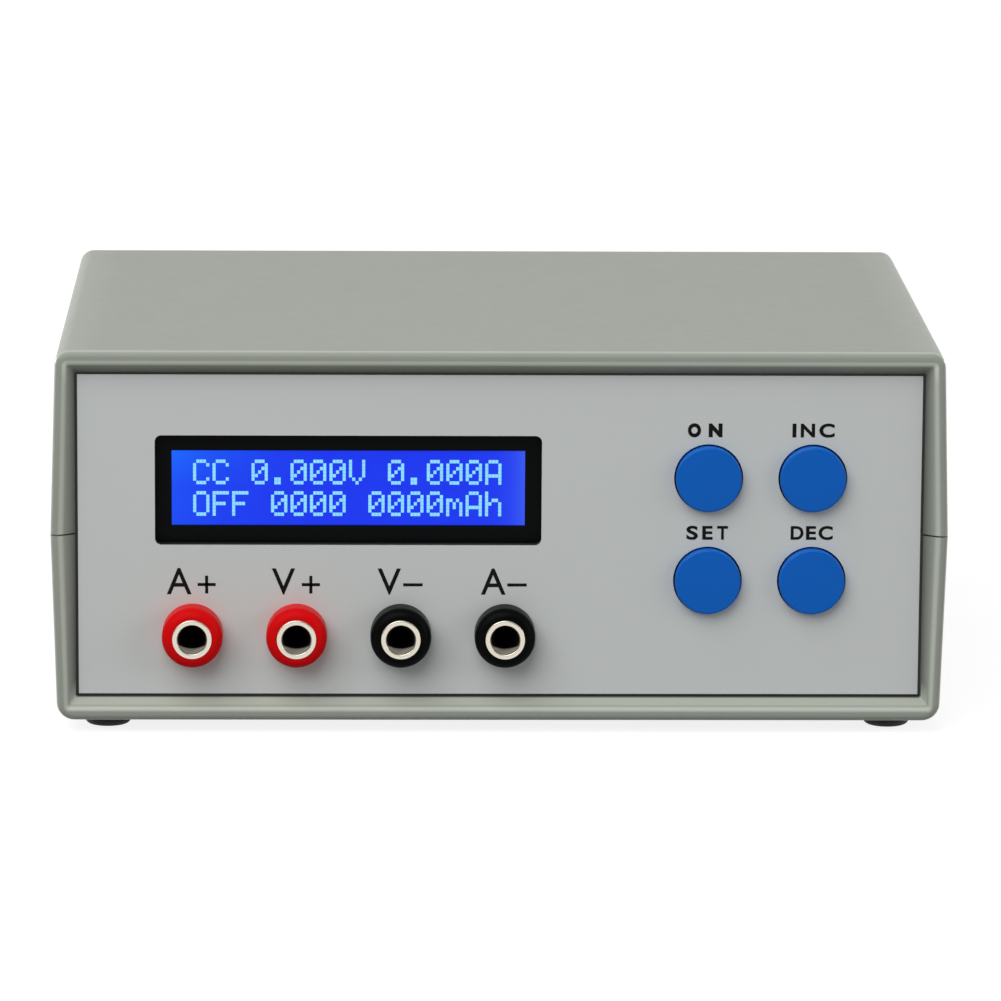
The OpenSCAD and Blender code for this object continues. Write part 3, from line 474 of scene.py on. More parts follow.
@dataclass(frozen=True)
class BacklitGlass(Finish):
    """Display glass lit from behind, paler where the lamps sit."""

    name: str = "backlit_glass"
    deep: Colour = srgb(20, 50, 234)
    corner: Colour = srgb(16, 112, 255)
    pale: Colour = srgb(96, 140, 255)
    face: Colour = (0.004, 0.008, 0.05, 1.0)
    roughness: float = 0.35
    specular: float = 0.12
    side_fall: float = 3.0
    side_share: float = 0.35
    corner_fall: float = 2.0
    corner_share: float = 0.95
    speck: float = 6 * MM
    speck_detail: float = 3.0
    speck_share: float = 0.12
    right_fall: float = 14.0
    left_fall: float = 30.0
    left_share: float = 0.3

    def paint(self) -> Paint:
        """Glow from both ends and the upper left corner."""
        paint = Paint(self.name)
        low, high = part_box("display_glass")
        middle = (low + high) / 2
        half = (high - low) / 2
        x, _, z = paint.axes()
        along = (x - middle.x) / half.x
        up = ((z - middle.z) / half.z).at_least(0.0)
        right = along.at_least(0.0)
        left = (0 - along).at_least(0.0)
        side = left ** self.side_fall * self.side_share
        corner = left ** self.corner_fall * up * self.corner_share
        speck = (paint.noise(self.speck, self.speck_detail) - NOISE_MEAN) * self.speck_share
        lit = paint.mixed((side + corner + speck).share(), self.deep, self.corner)
        end = right ** self.right_fall + left ** self.left_fall * self.left_share
        paint.set(Emission_Color=paint.mixed(end.at_most(1.0), lit, self.pale), Emission_Strength=1.0)
        paint.set(Base_Color=self.face, Roughness=self.roughness, Specular_IOR_Level=self.specular)
        return paint


@dataclass(frozen=True)
class LitDots(Finish):
    """Bright dots of the display."""

    name: str = "lit_dots"
    bright: Colour = srgb(150, 226, 255)
    dim: Colour = srgb(120, 200, 252)
    face: Colour = (0.05, 0.1, 0.12, 1.0)
    roughness: float = 0.4
    specular: float = 0.1
    spot: float = 3 * MM

    def paint(self) -> Paint:
        """Slightly uneven light."""
        paint = Paint(self.name)
        share = paint.noise(self.spot)
        paint.set(Emission_Color=paint.mixed(share, self.dim, self.bright), Emission_Strength=1.0)
        paint.set(Base_Color=self.face, Roughness=self.roughness, Specular_IOR_Level=self.specular)
        return paint


@dataclass(frozen=True)
class CircuitBoard(Finish):
    """Green solder mask over copper tracks."""

    name: str = "solder_mask"
    mask: Colour = srgb(16, 78, 44)
    track: Colour = srgb(34, 118, 66)
    pitch: float = 2.54 * MM
    rim_fall: float = 4.0
    rim_gain: float = 6.0
    roughness: float = 0.3
    track_roughness: float = 0.12
    track_depth: float = 0.02 * MM

    def paint(self) -> Paint:
        """Tracks as the rims of angular cells, raised a little."""
        paint = Paint(self.name)
        settings = {"distance": "CHEBYCHEV", "feature": "F1"}
        sockets = {"Vector": paint.place, "Scale": 1 / self.pitch}
        cells = paint.node("ShaderNodeTexVoronoi", settings, sockets)
        rim = (paint.wire(cells, "Distance") ** self.rim_fall * self.rim_gain).at_most(1.0)
        paint.set(Base_Color=paint.mixed(rim, self.mask, self.track))
        paint.set(Roughness=self.roughness + rim * self.track_roughness)
        paint.bump(rim, self.track_depth)
        return paint


@dataclass(frozen=True)
class RibbonCable(Finish):
    """Flat cable with a groove between its cores."""

    name: str = "ribbon_skin"
    colour: Colour = srgb(150, 150, 155)
    pitch: float = 1.27 * MM
    groove_shade: float = 0.8
    roughness: float = 0.55
    core_gloss: float = 0.1
    depth: float = 0.15 * MM

    def paint(self) -> Paint:
        """Round cores side by side along X, with painted shade in the grooves between them."""
        paint = Paint(self.name)
        x, _, _ = paint.axes()
        core = x.math("SINE", x * (2 * math.pi / self.pitch)) * 0.5 + 0.5
        paint.set(Base_Color=paint.shaded(self.colour, self.groove_shade + core * (1 - self.groove_shade)))
        paint.set(Roughness=self.roughness - core * self.core_gloss)
        paint.bump(core, self.depth)
        return paint


@dataclass(frozen=True)
class PrintInk(Finish):
    """Screen-printed ink on the film."""

    name: str = "print_ink"
    colour: Colour = srgb(9, 9, 11)
    specular: float = 0.1
    grain: float = 0.2 * MM
    grain_detail: float = 3.0
    cover: float = 0.8
    cover_range: float = 0.4
    roughness: float = 0.45
    roughness_range: float = 0.2

    def paint(self) -> Paint:
        """Slightly uneven cover and gloss."""
        paint = Paint(self.name)
        grain = paint.noise(self.grain, self.grain_detail)
        paint.set(Base_Color=paint.shaded(self.colour, self.cover + grain * self.cover_range))
        paint.set(Roughness=self.roughness + grain * self.roughness_range)
        paint.set(Specular_IOR_Level=self.specular)
        return paint


INK = PrintInk()
DOTS = LitDots()
SOCKET_METAL = SocketMetal()
FINISHES: dict[Slot, Finish] = {
    Slot.CASE: CasePlastic("case_moulding", srgb(157, 162, 152), 0.44, specular=0.22),
    Slot.PLATE: Moulding("plate_lacquer", srgb(34, 35, 36), 0.5, 0.3 * MM, 0.004 * MM),
    Slot.FILM: Moulding(
        "satin_film", srgb(209, 213, 211), 0.42, 0.12 * MM, 0.0012 * MM, 30 * MM, mottle=0.02, scuff=0.08
    ),
    Slot.FOOT: Moulding("foot_rubber", srgb(24, 24, 24), 0.75, 0.25 * MM, 0.01 * MM, 4 * MM, 0.2),
    Slot.STEEL: PlatedMetal("zinc_steel", (0.62, 0.61, 0.58, 1.0), 0.3),
    Slot.BEZEL: Moulding("bezel_enamel", srgb(5, 6, 7), 0.4, 0.3 * MM, 0.001 * MM, specular=0.06),
    Slot.DISPLAY: BacklitGlass(),
    Slot.DIFFUSER: Moulding("diffuser", srgb(225, 226, 224), 0.4),
    Slot.BOARD: CircuitBoard(),
    Slot.SPACER: Moulding("spacer_nylon", srgb(222, 216, 202), 0.45),
    Slot.SOCKET_RED: Moulding(
        "socket_red", srgb(224, 16, 20), 0.3, 0.3 * MM, 0.001 * MM, 6 * MM, mottle=0.06, specular=0.025
    ),
    Slot.SOCKET_BLACK: Moulding(
        "socket_black", srgb(9, 11, 9), 0.3, 0.3 * MM, 0.001 * MM, 6 * MM, mottle=0.1, specular=0.025
    ),
    Slot.CONTACT: PlatedMetal("nickel", (0.83, 0.79, 0.7, 1.0), 0.24, wear=0.1),
    Slot.BUTTON: Moulding(
        "button_blue", srgb(5, 101, 202), 0.22, 0.25 * MM, 0.0008 * MM, 8 * MM, mottle=0.04, specular=0.12
    ),
    Slot.PLUNGER: Moulding("plunger_white", srgb(228, 227, 220), 0.4),
    Slot.MOULDED: Moulding("black_moulding", srgb(26, 26, 28), 0.42, 0.3 * MM, 0.002 * MM, 6 * MM, 0.12),
    Slot.SINK: PlatedMetal("drawn_aluminium", (0.72, 0.73, 0.75, 1.0), 0.38, stretch=(1.0, 0.05, 1.0)),
    Slot.CHIP: Moulding("chip_epoxy", srgb(30, 30, 32), 0.6, 0.15 * MM),
    Slot.PAD: Moulding("pad_grey", srgb(190, 180, 168), 0.7),
    Slot.COPPER: PlatedMetal("copper", (0.72, 0.43, 0.28, 1.0), 0.3),
    Slot.SLEEVE: Moulding("can_sleeve", srgb(32, 36, 58), 0.35, 0.4 * MM, 0.001 * MM),
    Slot.CONNECTOR: Moulding("connector_cream", srgb(226, 222, 206), 0.45),
    Slot.FAN: Moulding("fan_black", srgb(24, 24, 26), 0.45, 0.4 * MM, 0.004 * MM, 10 * MM, 0.12),
    Slot.BEARING: PlatedMetal("sintered_bronze", (0.66, 0.47, 0.27, 1.0), 0.42),
    Slot.WIRE_RED: Moulding("wire_red", srgb(186, 30, 30), 0.4, 0.6 * MM, 0.002 * MM),
    Slot.WIRE_BLACK: Moulding("wire_black", srgb(26, 26, 26), 0.4, 0.6 * MM, 0.002 * MM),
    Slot.RIBBON: RibbonCable(),
}


def object_of(data: bpy.types.ID, name: str) -> bpy.types.Object:
    """An object at the origin that shows a mesh, a text, a lamp or a camera."""
    piece = bpy.data.objects.new(name, data)
    bpy.context.scene.collection.objects.link(piece)
    return piece


def fold_edges(work: bmesh.types.BMesh, fold: float) -> None:
    """Shade faces smooth, and keep an edge sharp where it turns by more than a fold.

    Args:
        work: The mesh, changed in place.
        fold: Turn above which an edge is sharp.
    """
    for face in work.faces:
        face.smooth = True
    for edge in work.edges:
        edge.smooth = edge.calc_face_angle(math.pi) < fold


def folded(work: bmesh.types.BMesh, name: str) -> bpy.types.Object:
    """Make a mesh an object with sharp edges where it folds.

    Args:
        work: The mesh, which is freed.
        name: The object's name.

    Returns:
        The object, at the origin.
    """
    fold_edges(work, FOLD)
    mesh = bpy.data.meshes.new(name)
    work.to_mesh(mesh)
    work.free()
    return object_of(mesh, name)


def finish_mesh(work: bmesh.types.BMesh, name: str) -> bpy.types.Object:
    """Close a mesh, turn its faces outwards and make it an object.

    Args:
        work: The mesh, which is freed.
        name: The object's name.

    Returns:
        The object, at the origin.
    """
    bmesh.ops.remove_doubles(work, verts=work.verts, dist=MERGE)
    bmesh.ops.recalc_face_normals(work, faces=work.faces)
    return folded(work, name)


def refold(mesh: bpy.types.Mesh, fold: float, outwards: bool = False) -> None:
    """Set a mesh's sharp edges again.

    Args:
        mesh: The mesh, changed in place.
        fold: Turn above which an edge is sharp.
        outwards: Whether its faces are turned outwards first.
    """
    work = bmesh.new()
    work.from_mesh(mesh)
    if outwards:
        bmesh.ops.recalc_face_normals(work, faces=work.faces)
    fold_edges(work, fold)
    work.to_mesh(mesh)
    work.free()


def plain_mesh(piece: bpy.types.Object) -> bpy.types.Mesh:
    """A new mesh of what an object shows with its modifiers."""
    graph = bpy.context.evaluated_depsgraph_get()
    graph.update()
    return bpy.data.meshes.new_from_object(piece.evaluated_get(graph), depsgraph=graph)


def bake_modifiers(piece: bpy.types.Object) -> bpy.types.Object:
    """Turn a piece with modifiers into a plain mesh.

    Args:
        piece: The piece, which keeps its name.

    Returns:
        The same piece without modifiers.
    """
    mesh = plain_mesh(piece)
    piece.modifiers.clear()
    piece.data = mesh
    mesh.name = piece.name
    return piece


def even_normals(piece: bpy.types.Object) -> bpy.types.Object:
    """Weight a piece's normals by face area, so that large faces stay flat."""
    modifier = piece.modifiers.new("even_normals", "WEIGHTED_NORMAL")
    modifier.keep_sharp = True
    return bake_modifiers(piece)


def combine(piece: bpy.types.Object, tool: bpy.types.Object, way: Way) -> None:
    """Join a tool to a piece or cut it away, and delete the tool.

    Args:
        piece: The piece, changed in place.
        tool: A closed solid.
        way: Whether it is joined or cut away.
    """
    modifier = piece.modifiers.new(tool.name, "BOOLEAN")
    modifier.operation = way.value
    modifier.solver = "EXACT"
    modifier.object = tool
    bake_modifiers(piece)
    bpy.data.objects.remove(tool)


def dress(
    piece: bpy.types.Object, slot: Slot, body: Body, *nodes: str, finish: Finish | None = None
) -> None:
    """Give a finished piece its material, attach it to its body and hide the frame nodes that it stands for.

    Args:
        piece: The piece, at the origin.
        slot: Record slot of its finish.
        body: Body that carries it.
        nodes: Frame nodes that it replaces.
        finish: A finish other than the slot's own.
    """
    piece.data.materials.clear()
    piece.data.materials.append(material_of(finish or FINISHES[slot]))
    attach(piece, body.value)
    if nodes:
        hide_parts(*nodes)
    log.info("%s rides on %s, %d faces", piece.name, body.value, len(piece.data.polygons))


def arc(centre: Point2, radius: float, start: float, end: float, steps: int) -> list[Point2]:
    """Points of an arc.

    Args:
        centre: Its centre.
        radius: Its radius.
        start, end: Its first and last angle, in degrees.
        steps: Number of chords.

    Returns:
        The points in order.
    """
    angles = [math.radians(start + (end - start) * i / steps) for i in range(steps + 1)]
    return [(centre[0] + radius * math.cos(turn), centre[1] + radius * math.sin(turn)) for turn in angles]


def mix(first: Point2, last: Point2, share: float) -> Point2:
    """The point a share of the way along a straight line."""
    return first[0] + (last[0] - first[0]) * share, first[1] + (last[1] - first[1]) * share


def between(first: Point2, last: Point2, steps: int) -> list[Point2]:
    """Points of a straight line after its first one."""
    return [mix(first, last, i / steps) for i in range(1, steps + 1)]


def lathe(profile: Sequence[Point2], name: str, closed: bool = True) -> bpy.types.Object:
    """Turn a profile round the Y axis.

    Args:
        profile: Radius and Y of each point.
        name: The object's name.
        closed: Whether the last point joins the first.

    Returns:
        The turned piece.
    """
    work = bmesh.new()
    angles = [2 * math.pi * i / TURNS for i in range(TURNS)]
    rings = []
    for radius, y in profile:
        places = [(radius * math.cos(turn), y, radius * math.sin(turn)) for turn in angles]
        rings.append([work.verts.new(place) for place in places])
    pairs = list(zip(rings, rings[1:]))
    if closed:
        pairs.append((rings[-1], rings[0]))
    for near, far in pairs:
        for i in range(TURNS):
            j = (i + 1) % TURNS
            work.faces.new((near[i], near[j], far[j], far[i]))
    bmesh.ops.remove_doubles(work, verts=work.verts, dist=MERGE)
    bmesh.ops.dissolve_degenerate(work, edges=work.edges, dist=MERGE)
    return finish_mesh(work, name)


def smoothed(node: str) -> bpy.types.Object:
    """A merged and smoothly shaded copy of a frame node.

    Args:
        node: The node's name.

    Returns:
        The copy.
    """
    work = bmesh.new()
    work.from_mesh(frame["nodes"][node].data)
    bmesh.ops.remove_doubles(work, verts=work.verts, dist=MERGE)
    bmesh.ops.dissolve_limit(work, angle_limit=FLAT, verts=work.verts, edges=work.edges)
    return even_normals(folded(work, node + "_smooth"))


class Grower:
    """A Geometry Nodes tree with named inputs, whose result becomes a plain mesh."""

    def __init__(self, name: str) -> None:
        """Make the tree with its geometry and material inputs."""
        self.name = name
        self.group = bpy.data.node_groups.new(name, "GeometryNodeTree")
        self.tree = Tree(self.group)
        self.identifiers: dict[str, str] = {}
        self.group.interface.new_socket("Geometry", in_out="OUTPUT", socket_type="NodeSocketGeometry")
        self.entry = self.tree.node("NodeGroupInput")
        self.base = self.add_input("Base", "NodeSocketGeometry")
        self.material = self.add_input("Finish", "NodeSocketMaterial")

    def add_input(self, name: str, kind: str) -> Wire:
        """Add a named input and return its wire."""
        item = self.group.interface.new_socket(name, in_out="INPUT", socket_type=kind)
        self.identifiers[name] = item.identifier
        return self.tree.wire(self.entry, name)

    def number(self, name: str) -> Wire:
        """Add a number input."""
        return self.add_input(name, "NodeSocketFloat")

    def added(self, kind: str, sockets: dict[Any, Any] | None = None, output: Any = 0) -> Wire:
        """Add one node and return one of its outputs."""
        return self.tree.wire(self.tree.node(kind, {}, sockets), output)

    def vector(self, x: Value = 0.0, y: Value = 0.0, z: Value = 0.0) -> Wire:
        """A vector of three values."""
        return self.added("ShaderNodeCombineXYZ", {0: x, 1: y, 2: z})

    def close(self, geometry: Wire) -> None:
        """End the tree in realised copies with one material."""
        real = self.added("GeometryNodeRealizeInstances", {0: geometry})
        coat = self.added("GeometryNodeSetMaterial", {"Geometry": real, "Material": self.material})
        self.tree.node("NodeGroupOutput", {}, {0: coat})

    def grow(self, base: bpy.types.Mesh, finish: Finish, **values: Any) -> bpy.types.Object:
        """Run the tree on a base mesh.

        Args:
            base: Mesh that the tree starts from.
            finish: Finish of the result.
            values: The other inputs, with an underscore for each blank in a name.

        Returns:
            The result as a plain mesh at the origin.
        """
        piece = object_of(base, self.name)
        modifier = piece.modifiers.new(self.name, "NODES")
        modifier.node_group = self.group
        modifier[self.identifiers["Finish"]] = material_of(finish)
        for name, value in values.items():
            modifier[self.identifiers[name.replace("_", " ")]] = value
        return bake_modifiers(piece)


class GridGrower(Grower):
    """Copies of a piece on a level grid."""

    def __init__(self, name: str) -> None:
        """Build the tree: grid points, copies of the piece, realised."""
        super().__init__(name)
        piece = self.add_input("Piece", "NodeSocketObject")
        centre = self.add_input("Centre", "NodeSocketVector")
        sockets = {
            "Size X": self.number("Width"),
            "Size Y": self.number("Depth"),
            "Vertices X": self.add_input("Columns", "NodeSocketInt"),
            "Vertices Y": self.add_input("Rows", "NodeSocketInt"),
        }
        grid = self.added("GeometryNodeMeshGrid", sockets)
        placed = self.added("GeometryNodeTransform", {"Geometry": grid, "Translation": centre})
        shown = self.added("GeometryNodeObjectInfo", {"Object": piece}, "Geometry")
        self.close(self.added("GeometryNodeInstanceOnPoints", {"Points": placed, "Instance": shown}))

    def copies(
        self, piece: bpy.types.Object, finish: Finish, centre: Sequence[float], columns: int, width: float,
        rows: int = 1, depth: float = 0.0,
    ) -> bpy.types.Object:
        """Copies of a piece, which is then deleted.

        Args:
            piece: The piece, made round the origin.
            finish: Finish of the copies.
            centre: Middle of the grid.
            columns, width: Copies along X, and the distance from the first to the last.
            rows, depth: Copies along Y, and the distance from the first to the last.

        Returns:
            All copies as one mesh.
        """
        base = bpy.data.meshes.new(self.name)
        sizes = {"Width": width, "Depth": depth, "Columns": columns, "Rows": rows}
        made = self.grow(base, finish, Piece=piece, Centre=tuple(centre), **sizes)
        bpy.data.objects.remove(piece)
        return made


@dataclass(frozen=True)
class CaseSizes:
    """Sizes of the case, read from the frame, with the small radii of the mouldings."""

    half_width: float
    front: float
    rear: float
    low: float
    top: float
    parting: float
    lip_half: float
    lip_low: float
    lip_high: float
    panel_front: float
    panel_back: float
    overlap: float = 1 * MM
    parting_gap: float = 0.3 * MM
    wall: float = 2.2 * MM
    side_wall: float = 1.8 * MM
    draft: float = math.radians(1.7)
    upper_edge: float = 2.7 * MM
    lower_edge: float = 3.3 * MM
    rim: float = 1.2 * MM
    bevel: float = 2 * MM
    land: float = 0.5 * MM
    groove_clear: float = 0.1 * MM
    groove_side: float = 0.2 * MM
    rib: float = 1.6 * MM
    inner_corner: float = 0.45 * MM
    inner_fillet: float = 0.55 * MM

    @classmethod
    def from_frame(cls) -> CaseSizes:
        """Read the outer sizes from the frame's nodes."""
        upper_low, upper_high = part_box("top_cover")
        lower_low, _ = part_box("bottom_cover")
        panel_low, panel_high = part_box("front_panel")
        lap = cls.overlap
        return cls(
            half_width=upper_high.x,
            front=upper_low.y,
            rear=upper_high.y,
            low=lower_low.z,
            top=upper_high.z,
            parting=upper_low.z,
            lip_half=panel_high.x - lap,
            lip_low=panel_low.z + lap,
            lip_high=panel_high.z - lap,
            panel_front=panel_low.y,
            panel_back=panel_high.y,
        )

    def groove_end(self) -> float:
        """Depth of the panel groove's back, from the end of the case."""
        return self.bevel + self.land + self.panel_back - self.panel_front + 2 * self.groove_clear

    def rib_end(self) -> float:
        """Depth of the rib's back, from the end of the case."""
        return self.groove_end() + self.rib


class Half(Enum):
    """The two shells."""

    UPPER = 1
    LOWER = -1


@dataclass(frozen=True)
class Station:
    """One ring of a shell: depth from the end, points, painted highlight, painted shade, and whether it lies
    on the bevel.
    """

    depth: float
    ring: list[Point2]
    wear: float = 0.0
    dirt: float = 0.0
    recess: bool = False


@dataclass
class Shell:
    """One half shell as a closed loft: half rings across the case, joined along it."""

    case: CaseSizes
    half: Half
    side_steps: int = 10
    corner_steps: int = 12
    top_steps: int = 28
    rim_steps: int = 7
    fillet_steps: int = 6
    length_steps: int = 10
    # Painted highlight on the rim's outer rounding, painted shade down the bevel towards the panel, and
    # painted highlight for the lower bevel, the upper run and the long edges.
    outer_highlight: tuple[float, ...] = (0.0, 0.6, 0.6, 0.2)
    recess: tuple[Point2, ...] = ((0.4, 0.2), (0.7, 0.55), (0.9, 0.85))
    lower_bevel_shade_share: float = 0.05
    lower_bevel_highlight: float = 0.5
    upper_highlight: float = 1.7
    long_edge_highlight: float = 0.16

    def __post_init__(self) -> None:
        """Work out the sizes that differ between the two halves."""
        case = self.case
        upper = self.half is Half.UPPER
        self.start = case.parting + self.half.value * case.parting_gap / 2
        self.height = abs((case.top if upper else case.low) - self.start)
        self.edge = case.upper_edge if upper else case.lower_edge
        self.lip_height = abs((case.lip_high if upper else case.lip_low) - self.start)
        self.edge_half = case.half_width - math.tan(case.draft) * (self.height - self.edge)

    def ring(self, foot: float, edge: float, height: float, corner: float) -> list[Point2]:
        """Half ring of the shell, from the right foot over the top to the left foot.

        Args:
            foot: Half width at the parting line.
            edge: Half width at the corner.
            height: Height over the parting line.
            corner: Corner radius.

        Returns:
            X and height of each point.
        """
        right = [(foot, 0.0)] + between((foot, 0.0), (edge, height - corner), self.side_steps)
        right += arc((edge - corner, height - corner), corner, 0, 90, self.corner_steps)[1:]
        inner = edge - corner
        over = between((inner, height), (-inner, height), self.top_steps)
        left = [(-x, z) for x, z in reversed(right[:-1])]
        return right + over + left

    def outer(self, inset: float) -> list[Point2]:
        """Ring of the outer face, moved inwards."""
        foot = self.case.half_width - inset
        return self.ring(foot, self.edge_half - inset, self.height - inset, self.edge - inset)

    def inner(self, back: float = 0.0) -> list[Point2]:
        """Ring of the wall's inner face, moved outwards."""
        case = self.case
        side = case.side_wall - back
        height = self.height - case.wall + back
        return self.ring(case.half_width - side, self.edge_half - side, height, case.inner_corner + back)

    def opening(self, grow: float = 0.0) -> list[Point2]:
        """Ring of the panel opening, grown on all sides."""
        half = self.case.lip_half + grow
        return self.ring(half, half, self.lip_height + grow, self.case.inner_corner)

    def rim_stations(self) -> list[Station]:
        """Rings round the outer edge of the rim, with a painted highlight where the rounding leaves the
        outer face.
        """
        rim = self.case.rim
        stations = []
        for i in range(self.rim_steps + 1):
            angle = math.pi / 2 * i / self.rim_steps
            ring = self.outer(rim * (1 - math.cos(angle)))
            # Painted highlight on the first steps of the rounding.
            wear = self.outer_highlight[i] if i < len(self.outer_highlight) else 0.0
            stations.append(Station(rim * (1 - math.sin(angle)), ring, wear))
        return stations

    def fillet_stations(self) -> list[Station]:
        """Rings round the fillet between the rim's face and the bevel, with a painted highlight strongest in
        the middle.
        """
        fillet = self.case.inner_fillet
        run = fillet / self.case.bevel
        corners = list(zip(self.inner(fillet), self.inner(), self.opening()))
        stations = []
        for i in range(self.fillet_steps + 1):
            turn = i / self.fillet_steps
            ring = []
            for face, corner, lip in corners:
                slope = mix(corner, lip, run)
                ring.append(mix(mix(face, corner, turn), mix(corner, slope, turn), turn))
            stations.append(Station(turn ** 2 * fillet, ring, 1 - (2 * turn - 1) ** 2))
        return stations

    def bevel_stations(self) -> list[Station]:
        """Rings down the bevel, with more painted shade towards the panel."""
        stations = []
        for share, dirt in self.recess:
            ring = [mix(corner, lip, share) for corner, lip in zip(self.inner(), self.opening())]
            stations.append(Station(self.case.bevel * share, ring, dirt=dirt, recess=True))
        return stations

    def groove_stations(self) -> list[Station]:
        """Rings of the land before the panel, its groove, the rib behind it and the wall."""
        case = self.case
        lip = self.opening()
        groove = self.opening(case.overlap + case.groove_side)
        land = case.bevel + case.land
        back = case.groove_end()
        rib = case.rib_end()
        # The land and the front of the groove take full painted shade.
        stations = [Station(case.bevel, lip, dirt=1.0), Station(land, lip, dirt=1.0)]
        stations += [Station(land, groove, dirt=1.0), Station(back, groove)]
        stations += [Station(back, lip), Station(rib, lip), Station(rib, self.inner())]
        return stations

    def marks(self, station: Station, height: float, rounded: bool) -> Point2:
        """Painted highlight and painted shade at one point.

        Args:
            station: The ring that it lies on.
            height: Its Z.
            rounded: Whether it lies on a long edge of the case.

        Returns:
            The painted highlight and the painted shade.
        """
        case = self.case
        # The long edges take a light painted highlight; the lower bevel, which faces the light, takes a
        # painted highlight and little painted shade; the upper run takes a stronger painted highlight.
        if rounded:
            return self.long_edge_highlight, station.dirt
        if station.recess and height < case.lip_low + case.inner_corner:
            return self.lower_bevel_highlight, station.dirt * self.lower_bevel_shade_share
        if height > case.lip_high:
            return station.wear * self.upper_highlight, station.dirt
        return station.wear, station.dirt

    def build(self, name: str) -> bpy.types.Object:
        """Loft the shell.

        Args:
            name: The object's name.

        Returns:
            The shell, with its painted highlight and painted shade as attributes.
        """
        case = self.case
        ends = self.rim_stations() + self.fillet_stations() + self.bevel_stations() + self.groove_stations()
        front = [(case.front + station.depth, station) for station in ends]
        rear = [(case.rear - station.depth, station) for station in reversed(ends)]
        long = rear[-1][0] - front[0][0]
        body = [(rear[-1][0] - long * i / self.length_steps, ends[0]) for i in range(1, self.length_steps)]
        work = bmesh.new()
        # Painted highlight and painted shade, kept on the vertices.
        wear = work.verts.layers.float.new("wear")
        dirt = work.verts.layers.float.new("dirt")
        long_edge = range(self.side_steps + 1, self.side_steps + self.corner_steps + 1)
        up = self.half.value
        rows = []
        for y, station in front + rear + body:
            row = [work.verts.new((x, y, self.start + up * height)) for x, height in station.ring]
            for place, vert in enumerate(row):
                rounded = station is ends[0] and min(place, len(row) - 1 - place) in long_edge
                vert[wear], vert[dirt] = self.marks(station, vert.co.z, rounded)
            rows.append(row)
        for near, far in zip(rows, rows[1:] + rows[:1]):
            for i in range(len(near) - 1):
                work.faces.new((near[i], near[i + 1], far[i + 1], far[i]))
        for place in (0, -1):
            work.faces.new([row[place] for row in rows])
        return finish_mesh(work, name)


def slab(low: Sequence[float], high: Sequence[float], name: str) -> bpy.types.Object:
    """A closed block, used as a tool or joined to a shell.

    Args:
        low, high: Its lowest and highest corner.
        name: The object's name.

    Returns:
        The block.
    """
    work = bmesh.new()
    bmesh.ops.create_cube(work, size=1.0)
    size = Vector(high) - Vector(low)
    middle = (Vector(high) + Vector(low)) / 2
    bmesh.ops.transform(work, matrix=Matrix.LocRotScale(middle, None, size), verts=work.verts)
    return finish_mesh(work, name)


def post(place: Point2, radius: float, low: float, high: float, name: str) -> bpy.types.Object:
    """A closed upright cylinder, used as a tool or joined to a shell.

    Args:
        place: X and Y of its axis.
        radius: Its radius.
        low, high: Z of its ends.
        name: The object's name.

    Returns:
        The cylinder.
    """
    work = bmesh.new()
    bmesh.ops.create_cone(
        work, cap_ends=True, segments=POST_SIDES, radius1=radius, radius2=radius, depth=high - low,
        matrix=Matrix.Translation((place[0], place[1], (low + high) / 2)),
    )
    return finish_mesh(work, name)


